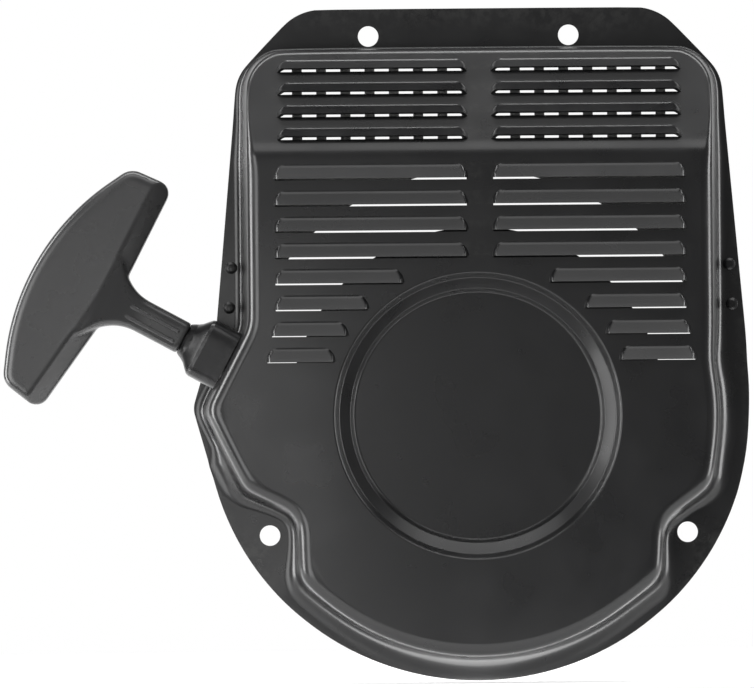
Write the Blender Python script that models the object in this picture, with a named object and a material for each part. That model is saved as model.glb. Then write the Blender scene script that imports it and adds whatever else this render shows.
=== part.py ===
"""Recoil starter of a small utility engine: a stamped steel cover with louvres, a perforated screen,
a rope pulley with its spiral spring and pawls, and a T-handle on a rope.

Frame: the crankshaft axis is the Y axis, the cover's front looks along -Y and +Z is up. The origin is on
the crankshaft axis, in the plane of the mounting flange's rear face. Sizes are in millimetres and are
scaled to metres where a mesh is made. "Depth" is the distance in front of the flange's rear face (-Y).
"""

from math import acos, atan2, cos, hypot, pi, radians, sin, sqrt, tan

import bmesh
import bpy
from mathutils import Matrix, Vector

MM = 0.001
GAP = 0.3  # clearance between neighbouring pieces

# Cover: the sheet and its depths
SHEET = 1.2
FACE_DEPTH = 40.0
BODY_CENTRE = 1.4  # the louvred body's middle lies a little to the right of the crankshaft axis
BODY_HALF_WIDTH = 81.4
BODY_TOP = 128.4
BODY_CORNER = 14.5
FACE_ROUND = 4.5
SLOPE_ROUND = 1.6  # the rounding is tighter beside the slope
SIDE_FILLET = 3.2
CORNER_FILLET = 2.2
TOP_FILLET = 0.6
RING_FILLET = 6.5
NOTCH_FILLET = 3.2
SIDE_DRAFT = 1.7  # how far the side walls lean out from face to flange
SLOPE_START = 93.0
SLOPE_ANGLE = 31.0
SLOPE_BLEND = 3.0
BODY_RING = 84.2
BULGE_RING = 84.4
FOOT_RING = 84.9
FLANGE_RING = 95.3
FLANGE_FLAT = 2.2  # how much less the flange reaches at the bottom than at the sides
FLANGE_TOP = 142.8

# Round dish in the face
DISH_OUTER = 49.4
DISH_INNER = 43.3
DISH_DEPTH = 6.0
DISH_STEP = 2.2  # height of the step on each side of the sloping band

# Bolt holes, for M6
BOLT_HOLE = 3.6
BOLTS = ((-37.2, 133.2), (33.0, 133.2), (-73.1, -41.6), (73.4, -41.5))

# Louvres
LOUVRE_PITCH = 9.15
LOUVRE_HEIGHT = 5.1
LOUVRE_PROUD = 2.7
LOUVRE_END = 4.6
LOUVRE_END_SLOPE = 1.9  # the ends are this steep, the blade itself is a flat ramp
LOUVRE_SKIN = 1.0
LOUVRE_SLIT = 0.6
LOWEST_SLIT = 0.2  # the slots under the lower rows get narrower
SLOPE_SLIT = -0.1  # below zero, the slot ends above the lip
LOUVRE_GAP = 4.1  # half the plain strip between the two columns
LOUVRE_REACH = 72.2
SLOPE_REACH = 70.6
LOUVRE_LOWER_REACH = (73.5, 75.2)  # the two lowest rows are wider
LOUVRE_TOP_ROW = 83.2
LOUVRE_ROWS = 8
SLOPE_TOP_ROW = 120.6
SLOPE_PITCH = 7.95  # measured straight down, not along the slope
SLOPE_ROWS = 4
LOUVRE_CLEAR = 53.0  # short rows stop on this circle round the dish

# Perforated screen
SCREEN_SHEET = 1.0
SCREEN_TOP = 127.4
SCREEN_MARGIN = 1.5  # the screen stops this far inside the flange's side edges
SCREEN_FOOT = 32.5
SCREEN_OPENING = 86.0
SCREEN_RIM = 92.5
SCREEN_PITCH = 8.5
SCREEN_HOLE = (2.5, 3.2)  # half the width and half the height of a hole
SCREEN_TOP_ROW = 121.2
RIVETS = ((-86.0, 52.4), (-86.8, 38.4), (88.8, 52.4), (89.6, 38.4))
RIVET_SHANK = 1.2
RIVET_HEAD = 2.1
RIVET_HEAD_DEPTH = 0.7

# Rope, and the eye it leaves through
ROPE_RADIUS = 2.25
ROPE_DEPTH = 17.6
ROPE_TURNS = 3
PULL_ANGLE = 28.5
EYE = (-91.7, 21.9)
WALL_BEHIND_EYE = 5.1
WALL_LEAN = 0.045  # how far the shoulder's wall leans out for each unit of depth

# Pulley
PULLEY_RADIUS = 66.0
GROOVE_FLOOR = 49.5
GROOVE_HALF_WIDTH = 3.0
RIM_WALL = 1.6
RIM_INNER = 47.0
WEB_REAR = 13.0
WEB_FRONT = 15.5
CUP_INNER = 39.3
CUP_OUTER = 41.0
CUP_TOP = 27.6
HUB_RADIUS = 11.8
HUB_TOP = 28.0
HUB_BORE = 8.3
BOSS_RADIUS = 2.7
BOSS_ORBIT = 44.0
BOSS_ANGLES = (95.0, 215.0, 335.0)
KNOT_ANGLE = 35.0

# Post, washers and screw on the crankshaft axis
POST_RADIUS = 8.0
POST_NECK = 5.0
POST_TOP = 30.7
POST_SHOULDER = 12.2
POST_END = 4.3
POST_THREAD = 3.3
SCREW_SHANK = 3.0
SCREW_ACROSS_FLATS = 10.0

# Spiral spring
SPRING_INNER = 13.0
SPRING_OUTER = 37.6
SPRING_TURNS = 7
SPRING_STRIP = 0.7
SPRING_LOW = 16.2
SPRING_HIGH = 26.6

# Pawls and guide plate
PAWL_ORBIT = 29.0
PAWL_REAR = 8.4
PAWL_FRONT = 12.2
PAWL_ANGLES = (80.0, 260.0)
PIN_RADIUS = 2.0
GUIDE_RADIUS = 33.5
GUIDE_REAR = 5.6
GUIDE_FRONT = 6.8
GUIDE_NOTCHES = (80.0, 260.0)
GUIDE_NOTCH_HALF = 26.0
GUIDE_NOTCH_FLOOR = 27.5

# Handle, measured along the rope from the eye
NECK_START = 12.4
NECK_HALF_WIDTH = 5.8
GRIP_INNER = 39.6
GRIP_INNER_END = 42.9
GRIP_APEX = 70.5
GRIP_ARC = 85.0
GRIP_HALF_LENGTH = 45.6
GRIP_TILT = -3.0  # the grip leans a little on its neck
GRIP_PIVOT = 52.0
GRIP_HALF_DEPTH = 12.0
GRIP_BEVEL = 4.0
GUIDE_MOUTH = 6.0
GUIDE_FLARE = 12.9
BORE = 2.8
POCKET_RADIUS = 7.0
POCKET_FLOOR = 56.0

ROUND = 40  # sides of a large turned piece
SMALL_ROUND = 16


def clear_scene():
    for obj in list(bpy.data.objects):
        bpy.data.objects.remove(obj, do_unlink=True)


def material(name, colour, roughness, metallic):
    made = bpy.data.materials.new(name)
    made.use_nodes = True
    shader = made.node_tree.nodes["Principled BSDF"]
    shader.inputs["Base Color"].default_value = (*colour, 1.0)
    shader.inputs["Roughness"].default_value = roughness
    shader.inputs["Metallic"].default_value = metallic
    return made


def frame_at(x, z, depth=0.0):
    """A frame whose local Z points to the front: local X is world X and local Y is world Z."""
    axes = Matrix(((1, 0, 0), (0, 0, -1), (0, 1, 0))).to_4x4()
    return Matrix.Translation(Vector((x, -depth, z)) * MM) @ axes


def pull_frame():
    """The frame at the eye: local X is across the rope, local Y along the pull and local Z to the front."""
    turn = radians(PULL_ANGLE)
    across = Vector((sin(turn), 0, cos(turn)))
    along = Vector((-cos(turn), 0, sin(turn)))
    axes = Matrix((across, along, across.cross(along))).transposed().to_4x4()
    return Matrix.Translation(Vector((EYE[0], -ROPE_DEPTH, EYE[1])) * MM) @ axes


def along_pull():
    """The frame at the eye with local Z along the pull, for turned pieces."""
    return pull_frame() @ Matrix.Rotation(radians(-90), 4, "X")


def finish_object(name, mesh_data, frame, look, smooth=40.0):
    """An object from a bmesh in millimetres, in the given frame."""
    bmesh.ops.recalc_face_normals(mesh_data, faces=mesh_data.faces)
    mesh = bpy.data.meshes.new(name)
    mesh_data.transform(Matrix.Scale(MM, 4))
    mesh_data.to_mesh(mesh)
    mesh_data.free()
    mesh.shade_smooth()
    mesh.set_sharp_from_angle(angle=radians(smooth))
    obj = bpy.data.objects.new(name, mesh)
    bpy.context.scene.collection.objects.link(obj)
    obj.matrix_world = frame
    if look:
        mesh.materials.append(look)
    return obj


def boolean(target, tool, operation):
    """Joins or cuts the target with the tool, keeps the result as its mesh and removes the tool."""
    modifier = target.modifiers.new(operation.lower(), "BOOLEAN")
    modifier.object = tool
    modifier.operation = operation
    bpy.context.view_layer.update()
    graph = bpy.context.evaluated_depsgraph_get()
    mesh = bpy.data.meshes.new_from_object(target.evaluated_get(graph))
    target.modifiers.clear()
    target.data = mesh
    mesh.set_sharp_from_angle(angle=radians(40))
    bpy.data.objects.remove(tool, do_unlink=True)


def ring_faces(made, first, second):
    """Quads between two closed rings of vertices, or triangles where a ring is one vertex."""
    count = max(len(first), len(second))
    for i in range(count):
        j = (i + 1) % count
        corners = [first[i % len(first)], first[j % len(first)], second[j % len(second)], second[i % len(second)]]
        unique = list(dict.fromkeys(corners))
        made.faces.new(unique)


def turned(name, profile, frame, look, sides=ROUND):
    """A solid of revolution about the frame's Z axis; the profile is a closed loop of (radius, height)."""
    made = bmesh.new()
    rings = []
    for radius, height in profile:
        steps = sides if radius > 1e-6 else 1
        ring = []
        for i in range(steps):
            angle = 2 * pi * i / sides
            ring.append(made.verts.new((radius * cos(angle), radius * sin(angle), height)))
        rings.append(ring)
    for k, ring in enumerate(rings):
        following = rings[(k + 1) % len(rings)]
        if len(ring) > 1 or len(following) > 1:
            ring_faces(made, ring, following)
    return finish_object(name, made, frame, look)


def tube_profile(bore, radius, low, high, chamfer=0.0):
    """The closed profile of a washer or sleeve, with its outer edges chamfered."""
    if not chamfer:
        return [(bore, low), (bore, high), (radius, high), (radius, low)]
    return [(bore, low), (bore, high), (radius - chamfer, high), (radius, high - chamfer),
            (radius, low + chamfer), (radius - chamfer, low)]


def prism(name, outline, low, high, frame, look, smooth=40.0):
    """A straight extrusion of a closed outline along the frame's Z axis."""
    made = bmesh.new()
    bottom = [made.verts.new((x, y, low)) for x, y in outline]
    top = [made.verts.new((x, y, high)) for x, y in outline]
    made.faces.new(bottom)
    made.faces.new(top)
    ring_faces(made, bottom, top)
    return finish_object(name, made, frame, look, smooth)


def circle(x, y, radius, sides, phase=0.0):
    return [(x + radius * cos(2 * pi * (i + phase) / sides), y + radius * sin(2 * pi * (i + phase) / sides))
            for i in range(sides)]


def prisms(name, outlines, low, high, frame):
    """Several separate extrusions in one helper object, to cut with."""
    made = bmesh.new()
    for outline in outlines:
        bottom = [made.verts.new((x, y, low)) for x, y in outline]
        top = [made.verts.new((x, y, high)) for x, y in outline]
        made.faces.new(bottom)
        made.faces.new(top)
        ring_faces(made, bottom, top)
    return finish_object(name, made, frame, None)


def polar(radius, first, last, count):
    """Points of an arc about the crankshaft axis, as sharp corners of an outline."""
    points = []
    for i in range(count):
        angle = radians(first + (last - first) * i / (count - 1))
        points.append((radius * cos(angle), radius * sin(angle), 0.0, 1))
    return points


def rounded(corners):
    """The points of a closed outline whose corners (x, y, radius, points) are rounded off."""
    points = []
    for k, (x, y, radius, count) in enumerate(corners):
        corner = Vector((x, y))
        if radius <= 0:
            points.append(corner)
            continue
        before = (Vector(corners[k - 1][:2]) - corner).normalized()
        after = (Vector(corners[(k + 1) % len(corners)][:2]) - corner).normalized()
        half = before.angle(after) / 2
        centre = corner + (before + after).normalized() * radius / sin(half)
        start = corner + before * radius / tan(half) - centre
        end = corner + after * radius / tan(half) - centre
        swing = atan2(start.x * end.y - start.y * end.x, start.dot(end))
        for i in range(count):
            angle = swing * i / (count - 1)
            turn = Matrix.Rotation(angle, 2)
            points.append(centre + turn @ start)
    return points


def face_depth(z):
    """Depth of the face's outer surface: flat, then sloping back over the top section."""
    drop = tan(radians(SLOPE_ANGLE))
    past = z - SLOPE_START
    if past <= -SLOPE_BLEND:
        return FACE_DEPTH
    if past >= SLOPE_BLEND:
        return FACE_DEPTH - past * drop
    return FACE_DEPTH - drop * (past + SLOPE_BLEND) ** 2 / (4 * SLOPE_BLEND)


# The three outlines of the cover are walked clockwise as seen from the front, from the top left corner, with
# the same number of points in each stretch, so that point i of one belongs to point i of the others.
SIDE_ROWS = (104.0, 96.0, 94.2, 93.0, 91.8, 90.0, 74.0, 57.0)
LOW_ROWS = (40.0, 26.0)
LEFT_SHOULDER_SLOPE = 62.5


def body_outline():
    """The edge where face and wall would meet if it weren't rounded."""
    left = BODY_CENTRE - BODY_HALF_WIDTH
    right = BODY_CENTRE + BODY_HALF_WIDTH
    shoulder = (-95.2, 2.6)
    shoulder_top = shoulder[1] + (left - shoulder[0]) * tan(radians(LEFT_SHOULDER_SLOPE))
    corners = [(left, BODY_TOP, BODY_CORNER, 9), (right, BODY_TOP, BODY_CORNER, 9)]
    corners += [(right, z, 0.0, 1) for z in SIDE_ROWS + LOW_ROWS]
    corners += polar(BULGE_RING, 13.0, -11.0, 5)
    corners += [(81.6, -25.0, 11.5, 4), (64.6, -37.6, 11.5, 5), (63.8, -57.2, 11.0, 4)]
    corners += polar(BODY_RING, -50.0, -130.0, 13)
    corners += [(-62.6, -57.2, 10.5, 4), (-63.0, -34.4, 9.5, 5), (-81.4, -25.4, 11.0, 4)]
    corners += [(shoulder[0], shoulder[1], 9.0, 5), (left, shoulder_top, 15.0, 5)]
    corners += [(left, z, 0.0, 1) for z in reversed(SIDE_ROWS)]
    return rounded(corners)


def foot_outline():
    """The edge where wall and flange would meet if it weren't filleted."""
    left = BODY_CENTRE - BODY_HALF_WIDTH - SIDE_DRAFT
    right = BODY_CENTRE + BODY_HALF_WIDTH + SIDE_DRAFT
    shoulder = (-96.6, 2.6)
    shoulder_top = shoulder[1] + (left - shoulder[0]) * tan(radians(LEFT_SHOULDER_SLOPE))
    corners = [(left, BODY_TOP + 0.5, BODY_CORNER + 0.7, 9), (right, BODY_TOP + 0.5, BODY_CORNER + 0.7, 9)]
    corners += [(right, z, 0.0, 1) for z in SIDE_ROWS + LOW_ROWS]
    corners += polar(FOOT_RING, 13.0, -11.5, 5)
    corners += [(82.5, -26.2, 11.0, 4), (65.4, -38.7, 10.7, 5), (64.6, -57.9, 10.5, 4)]
    corners += polar(FOOT_RING, -49.7, -130.3, 13)
    corners += [(-63.4, -57.9, 10.0, 4), (-63.8, -35.4, 8.8, 5), (-82.5, -26.5, 10.4, 4)]
    corners += [(shoulder[0], shoulder[1], 8.0, 5), (left, shoulder_top, 13.0, 5)]
    corners += [(left, z, 0.0, 1) for z in reversed(SIDE_ROWS)]
    return rounded(corners)


def flange_side(z):
    """Half the flange's width beside the louvred body: it widens downwards."""
    return 85.4 + (113.0 - z) * 0.089


def flange_ring(first, last, count):
    """Points along the flange's round edge, as sharp corners of an outline."""
    points = []
    for i in range(count):
        angle = radians(first + (last - first) * i / (count - 1))
        radius = FLANGE_RING - FLANGE_FLAT * sin(angle) ** 2
        points.append((radius * cos(angle), radius * sin(angle), 0.0, 1))
    return points


def flange_outline():
    """The flange's outer edge."""
    corners = [(BODY_CENTRE - flange_side(117.0), 119.5, 16.0, 4), (-61.6, FLANGE_TOP, 19.0, 5)]
    corners += [(64.2, FLANGE_TOP, 19.0, 5), (BODY_CENTRE + flange_side(117.0), 119.5, 16.0, 4)]
    corners += [(BODY_CENTRE + flange_side(z), z, 0.0, 1) for z in SIDE_ROWS + LOW_ROWS]
    corners += [(94.8, 18.0, 0.0, 1), (95.4, 10.0, 0.0, 1)] + flange_ring(0.0, -15.5, 3)
    corners += flange_ring(-18.0, -25.0, 4) + flange_ring(-28.0, -43.0, 9) + flange_ring(-47.0, -133.0, 13)
    corners += flange_ring(-137.0, -151.0, 9) + flange_ring(-154.0, -166.0, 4)
    corners += [(-99.8, 3.2, 9.0, 5), (BODY_CENTRE - flange_side(30.0), 31.0, 12.0, 5)]
    corners += [(BODY_CENTRE - flange_side(z), z, 0.0, 1) for z in reversed(SIDE_ROWS)]
    return rounded(corners)


def outward(outline):
    """The outward direction at each point of a clockwise outline."""
    directions = []
    for i, point in enumerate(outline):
        before = (point - outline[i - 1]).normalized()
        after = (outline[(i + 1) % len(outline)] - point).normalized()
        tangent = (before + after).normalized()
        directions.append(Vector((-tangent.y, tangent.x)))
    return directions


def eased(value, start, end):
    """0 before start, 1 after end and straight between them."""
    return min(1.0, max(0.0, (value - start) / (end - start)))


def edge_round(z):
    """Radius of the rounding between face and wall."""
    return FACE_ROUND + (SLOPE_ROUND - FACE_ROUND) * eased(z, 86.0, 104.0)


def foot_fillet(x, z):
    """Radius of the fillet at the wall's foot: small at the top and by a lower bolt, wide round the ring."""
    if z > 90.0:
        side = SIDE_FILLET + (CORNER_FILLET - SIDE_FILLET) * eased(z, 90.0, 104.0)
        return side + (TOP_FILLET - side) * eased(z, 112.0, 127.0)
    to_bolt = min(hypot(x - bolt_x, z - bolt_z) for bolt_x, bolt_z in BOLTS[2:])
    ring = eased(-z, -30.0, -10.0)
    if x < 0 and z > -10:
        ring = 0.0
    wide = SIDE_FILLET + (RING_FILLET - SIDE_FILLET) * ring
    near = eased(to_bolt, 9.0, 21.0)
    return NOTCH_FILLET + (wide - NOTCH_FILLET) * near


def wall_sections(steps=3):
    """For each point round the cover, its line of (x, z, depth) from the face's edge to the flange's edge."""
    body = body_outline()
    foot = foot_outline()
    flange = flange_outline()
    assert len(body) == len(foot) == len(flange)
    lines = []
    for a, a_out, b, b_out, c in zip(body, outward(body), foot, outward(foot), flange):
        line = []
        for k in range(steps + 1):
            angle = pi / 2 * k / steps
            point = a - a_out * edge_round(a.y) * (1 - sin(angle))
            line.append((point.x, point.y, face_depth(point.y) - edge_round(a.y) * (1 - cos(angle))))
        fillet = foot_fillet(b.x, b.y)
        for k in range(steps + 1):
            angle = pi / 2 * k / steps
            point = b + b_out * fillet * (1 - cos(angle))
            line.append((point.x, point.y, SHEET + fillet * (1 - sin(angle))))
        line.append((c.x, c.y, SHEET))
        lines.append(line)
    return lines


def dish_profile():
    """(radius, depth below the face) down a step, a sloping band and a second step into the round dish."""
    band = DISH_DEPTH - DISH_STEP
    return [(DISH_OUTER + 0.7, 0.0), (DISH_OUTER - 0.2, 0.75), (DISH_OUTER - 0.8, DISH_STEP),
            (DISH_INNER + 1.1, band), (DISH_INNER + 0.5, band + 1.45), (DISH_INNER - 0.4, DISH_DEPTH)]


def cover_skin():
    """The cover's outer surface as an open sheet: face, dish, rounded edge, wall and flange."""
    made = bmesh.new()
    lines = wall_sections()
    grid = [[made.verts.new(point) for point in line] for line in lines]
    count = len(grid)
    for i in range(count):
        following = grid[(i + 1) % count]
        for k in range(len(grid[0]) - 1):
            made.faces.new((grid[i][k], following[k], following[k + 1], grid[i][k + 1]))
    # The top section is closed by strips between opposite points of its left and right edges.
    edge = [line[0] for line in grid]
    corner = 9
    side = len(SIDE_ROWS)
    left = list(reversed(edge[:corner])) + list(reversed(edge[-side:]))
    right = edge[corner:2 * corner + side]
    for k in range(corner + side - 1):
        made.faces.new((left[k], right[k], right[k + 1], left[k + 1]))
    lower = edge[2 * corner + side - 1:count - side + 1]
    dish = dish_profile()
    rings = []
    for radius, drop in dish:
        ring = []
        for x, z in circle(0.0, 0.0, radius, 36):
            ring.append(made.verts.new((x, z, FACE_DEPTH - drop)))
        rings.append(ring)
    for first, second in zip(rings, rings[1:]):
        ring_faces(made, first, second)
    made.faces.new(rings[-1])
    border = [made.edges.get((lower[i], lower[i + 1])) for i in range(len(lower) - 1)]
    border.append(made.edges.get((lower[-1], lower[0])))
    border += [made.edges.get((rings[0][i - 1], rings[0][i])) for i in range(len(rings[0]))]
    bmesh.ops.triangle_fill(made, edges=border, use_beauty=True, normal=(0, 0, 1))
    return made


def slope_frame(x, z):
    """The frame of a louvre: origin on the face's outer surface, local Y up the surface, local Z out of it."""
    tilt = radians(SLOPE_ANGLE) if z > SLOPE_START else 0.0
    return frame_at(x, z, face_depth(z)) @ Matrix.Rotation(-tilt, 4, "X")


def hood_stations(length, inset):
    """(spine x, edge x, edge y) along a hood's footprint, from one lower corner over the top to the other."""
    end = LOUVRE_END - inset
    height = LOUVRE_HEIGHT - inset
    spine = length / 2 - LOUVRE_END
    steps = 2
    stations = []
    for k in range(steps + 1):
        angle = pi / 2 * k / steps
        stations.append((-spine, -spine - end * cos(angle), height * sin(angle)))
    for k in range(steps + 1):
        angle = pi / 2 * (1 - k / steps)
        stations.append((spine, spine + end * cos(angle), height * sin(angle)))
    return stations


def hood_sheet(made, length, inset, place, foot):
    """One skin of a louvre's hood: a ramp with steep round ends, open along its lower edge."""
    proud = LOUVRE_PROUD - inset
    grid = []
    for spine, edge_x, edge_y in hood_stations(length, inset):
        reach = hypot(edge_x - spine, edge_y)
        line = []
        for rho in (0.0, 0.55, 1.0):
            x = spine + (edge_x - spine) * rho
            ramp = proud * (1 - edge_y * rho / (LOUVRE_HEIGHT - inset))
            rise = min(ramp, LOUVRE_END_SLOPE * (1 - rho) * reach)
            line.append(made.verts.new(place @ Vector((x, edge_y * rho, rise))))
        line.append(made.verts.new(place @ Vector((edge_x, edge_y, foot))))
        grid.append(line)
    for first, second in zip(grid, grid[1:]):
        for k in range(len(first) - 1):
            made.faces.new((first[k], first[k + 1], second[k + 1], second[k]))
    return grid


def add_hood(made, length, place):
    """One louvre's hood as a closed shell that sinks half-way into the sheet."""
    foot = -SHEET / 2
    outer = hood_sheet(made, length, 0.0, place, foot)
    inner = hood_sheet(made, length, LOUVRE_SKIN, place, foot)
    for i in range(len(outer) - 1):
        made.faces.new((outer[i][-1], inner[i][-1], inner[i + 1][-1], outer[i + 1][-1]))
    lip_outer = list(reversed(outer[0])) + outer[-1]
    lip_inner = list(reversed(inner[0])) + inner[-1]
    for i in range(len(lip_outer) - 1):
        made.faces.new((lip_outer[i], lip_outer[i + 1], lip_inner[i + 1], lip_inner[i]))


def louvres():
    """(centre x, lip z, length, slot's height below the lip) of every louvre."""
    rows = [(SLOPE_TOP_ROW - k * SLOPE_PITCH, SLOPE_REACH, SLOPE_SLIT) for k in range(SLOPE_ROWS)]
    for k in range(LOUVRE_ROWS):
        low = k - (LOUVRE_ROWS - len(LOUVRE_LOWER_REACH))
        lower = max(0.0, (k - 3) / (LOUVRE_ROWS - 4))
        rows.append((LOUVRE_TOP_ROW - k * LOUVRE_PITCH, LOUVRE_LOWER_REACH[low] if low >= 0 else LOUVRE_REACH,
                     LOUVRE_SLIT + (LOWEST_SLIT - LOUVRE_SLIT) * lower))
    found = []
    for z, reach, slit in rows:
        clear = sqrt(LOUVRE_CLEAR ** 2 - z * z) if z < LOUVRE_CLEAR else 0.0
        for side in (-1, 1):
            near = BODY_CENTRE + side * LOUVRE_GAP
            if clear > abs(near):
                near = side * clear
            far = BODY_CENTRE + side * reach
            found.append(((near + far) / 2, z, abs(far - near), slit))
    return found


def hoods_and_slots(made_hoods, made_slots):
    """Adds every louvre's hood, and the slot under it, to two helper meshes."""
    to_sheet = frame_at(0.0, 0.0).inverted()
    in_mm = Matrix.Scale(1 / MM, 4)
    for x, z, length, slit in louvres():
        place = in_mm @ to_sheet @ slope_frame(x, z) @ Matrix.Scale(MM, 4)
        add_hood(made_hoods, length, place)
        stations = hood_stations(length, LOUVRE_SKIN * 0.55)
        outline = [(edge_x, max(edge_y, -slit)) for _, edge_x, edge_y in stations]
        if slit > 0:
            reach = outline[-1][0]
            outline += [(reach, -slit), (-reach, -slit)]
        low = [made_slots.verts.new(place @ Vector((u, v, -4.0))) for u, v in outline]
        high = [made_slots.verts.new(place @ Vector((u, v, 4.0))) for u, v in outline]
        made_slots.faces.new(low)
        made_slots.faces.new(high)
        ring_faces(made_slots, low, high)


def build_cover(look):
    frame = frame_at(0.0, 0.0)
    skin = cover_skin()
    bmesh.ops.recalc_face_normals(skin, faces=skin.faces)
    if sum((f.normal.z * f.calc_area() for f in skin.faces), 0.0) < 0:
        bmesh.ops.reverse_faces(skin, faces=skin.faces)
    mesh = bpy.data.meshes.new("housing_cover")
    skin.transform(Matrix.Scale(MM, 4))
    skin.to_mesh(mesh)
    skin.free()
    cover = bpy.data.objects.new("housing_cover", mesh)
    bpy.context.scene.collection.objects.link(cover)
    cover.matrix_world = frame
    mesh.materials.append(look)
    mesh.shade_smooth()
    solidify = cover.modifiers.new("sheet", "SOLIDIFY")
    solidify.thickness = SHEET * MM
    solidify.offset = -1.0
    solidify.use_even_offset = True
    bolts = prisms("bolt_holes", [circle(x, z, BOLT_HOLE, SMALL_ROUND) for x, z in BOLTS], -5.0, 5.0, frame)
    boolean(cover, bolts, "DIFFERENCE")
    rivets = prisms("rivet_holes", [circle(x, z, RIVET_SHANK + GAP, 8) for x, z in RIVETS], -5.0, 5.0, frame)
    boolean(cover, rivets, "DIFFERENCE")
    eye_hole = turned("eye_hole", tube_profile(0.0, 7.0, -16.0, 4.0), along_pull(), None, SMALL_ROUND)
    boolean(cover, eye_hole, "DIFFERENCE")
    hoods = bmesh.new()
    slots = bmesh.new()
    hoods_and_slots(hoods, slots)
    boolean(cover, finish_object("louvre_slots", slots, frame, None), "DIFFERENCE")
    bmesh.ops.remove_doubles(hoods, verts=hoods.verts, dist=1e-4)
    boolean(cover, finish_object("louvre_hoods", hoods, frame, None), "UNION")
    return cover


def build_screen(look):
    """The perforated plate behind the flange, arched over the fan opening."""
    frame = frame_at(0.0, 0.0)
    low = -GAP - SCREEN_SHEET
    shoulder = SCREEN_TOP - 8.0
    wide = flange_side(SCREEN_FOOT) - SCREEN_MARGIN
    narrow = flange_side(shoulder) - SCREEN_MARGIN
    arch = [(x, y) for x, y, _, _ in polar(SCREEN_OPENING, 158.0, 22.0, 31)]
    outline = [(BODY_CENTRE - wide, SCREEN_FOOT), (BODY_CENTRE - narrow, shoulder)]
    outline += [(BODY_CENTRE - narrow + 8.0, SCREEN_TOP), (BODY_CENTRE + narrow - 8.0, SCREEN_TOP)]
    outline += [(BODY_CENTRE + narrow, shoulder), (BODY_CENTRE + wide, SCREEN_FOOT)]
    outline += list(reversed(arch))
    screen = prism("debris_screen", outline, low, -GAP, frame, look)
    half_width, half_height = SCREEN_HOLE
    holes = []
    for row in range(11):
        z = SCREEN_TOP_ROW - row * SCREEN_PITCH
        for column in range(-8, 9):
            x = BODY_CENTRE + column * SCREEN_PITCH
            if hypot(abs(x) - half_width, z - half_height) > SCREEN_RIM:
                holes.append([(x - half_width, z - half_height), (x + half_width, z - half_height),
                              (x + half_width, z + half_height), (x - half_width, z + half_height)])
    holes += [circle(x, z, RIVET_SHANK + GAP, 8) for x, z in RIVETS]
    boolean(screen, prisms("screen_holes", holes, low - 2.0, 2.0, frame), "DIFFERENCE")
    return screen


def build_rivets(look):
    front = SHEET + GAP
    rear = -GAP - SCREEN_SHEET - GAP
    profile = [(0.0, rear - RIVET_HEAD_DEPTH), (RIVET_HEAD, rear - RIVET_HEAD_DEPTH), (RIVET_HEAD, rear),
               (RIVET_SHANK, rear), (RIVET_SHANK, front), (RIVET_HEAD, front),
               (RIVET_HEAD * 0.6, front + RIVET_HEAD_DEPTH), (0.0, front + RIVET_HEAD_DEPTH)]
    for number, (x, z) in enumerate(RIVETS, 1):
        turned(f"screen_rivet_{number}", profile, frame_at(x, z), look, 12)


def build_post(steel):
    """The post that the pulley turns on, and the plate that is welded under the dish to carry it."""
    axis = frame_at(0.0, 0.0)
    dish_back = FACE_DEPTH - DISH_DEPTH - SHEET
    turned("post_plate", tube_profile(0.0, 17.0, POST_TOP + GAP, dish_back - GAP), axis, steel, 32)
    profile = [(0.0, POST_TOP), (POST_RADIUS, POST_TOP), (POST_RADIUS, POST_SHOULDER), (POST_NECK, POST_SHOULDER),
               (POST_NECK, POST_END), (POST_THREAD, POST_END), (POST_THREAD, 22.0), (0.0, 23.5)]
    turned("centre_post", profile, axis, steel, 32)


def build_pulley(look):
    axis = frame_at(0.0, 0.0)
    groove_low = ROPE_DEPTH - GROOVE_HALF_WIDTH
    groove_high = ROPE_DEPTH + GROOVE_HALF_WIDTH
    profile = [(HUB_BORE, WEB_REAR - 0.5), (HUB_BORE, HUB_TOP), (HUB_RADIUS, HUB_TOP), (HUB_RADIUS, WEB_FRONT),
               (CUP_INNER, WEB_FRONT), (CUP_INNER, CUP_TOP), (CUP_OUTER, CUP_TOP), (CUP_OUTER, WEB_FRONT),
               (RIM_INNER, WEB_FRONT), (RIM_INNER, groove_high + RIM_WALL), (PULLEY_RADIUS, groove_high + RIM_WALL),
               (PULLEY_RADIUS, groove_high + 0.4), (GROOVE_FLOOR, groove_high), (GROOVE_FLOOR, groove_low),
               (PULLEY_RADIUS, groove_low - 0.4), (PULLEY_RADIUS, WEB_REAR), (HUB_RADIUS, WEB_REAR),
               (HUB_RADIUS, WEB_REAR - 0.5)]
    pulley = turned("rope_pulley", profile, axis, look, 40)
    for angle in BOSS_ANGLES:
        x, z = BOSS_ORBIT * cos(radians(angle)), BOSS_ORBIT * sin(radians(angle))
        boss = prism("boss", circle(x, z, BOSS_RADIUS, 10), WEB_FRONT - 1.0, CUP_TOP, axis, None)
        boolean(pulley, boss, "UNION")
    holes = [circle(BOSS_ORBIT * cos(radians(a)), BOSS_ORBIT * sin(radians(a)), 1.5, 8) for a in BOSS_ANGLES]
    holes += [circle(PAWL_ORBIT * cos(radians(a)), PAWL_ORBIT * sin(radians(a)), PIN_RADIUS + GAP, 12)
              for a in PAWL_ANGLES]
    boolean(pulley, prisms("pulley_holes", holes, WEB_REAR - 3.0, CUP_TOP + 3.0, axis), "DIFFERENCE")
    lean = Matrix.Rotation(radians(KNOT_ANGLE), 4, "Z") @ Matrix.Rotation(radians(90), 4, "Y")
    rope_hole = turned("rope_hole", tube_profile(0.0, 2.4, RIM_INNER - 2.0, GROOVE_FLOOR + 2.0),
                       frame_at(0.0, 0.0, ROPE_DEPTH) @ lean, None, 12)
    boolean(pulley, rope_hole, "DIFFERENCE")
    return pulley


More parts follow.
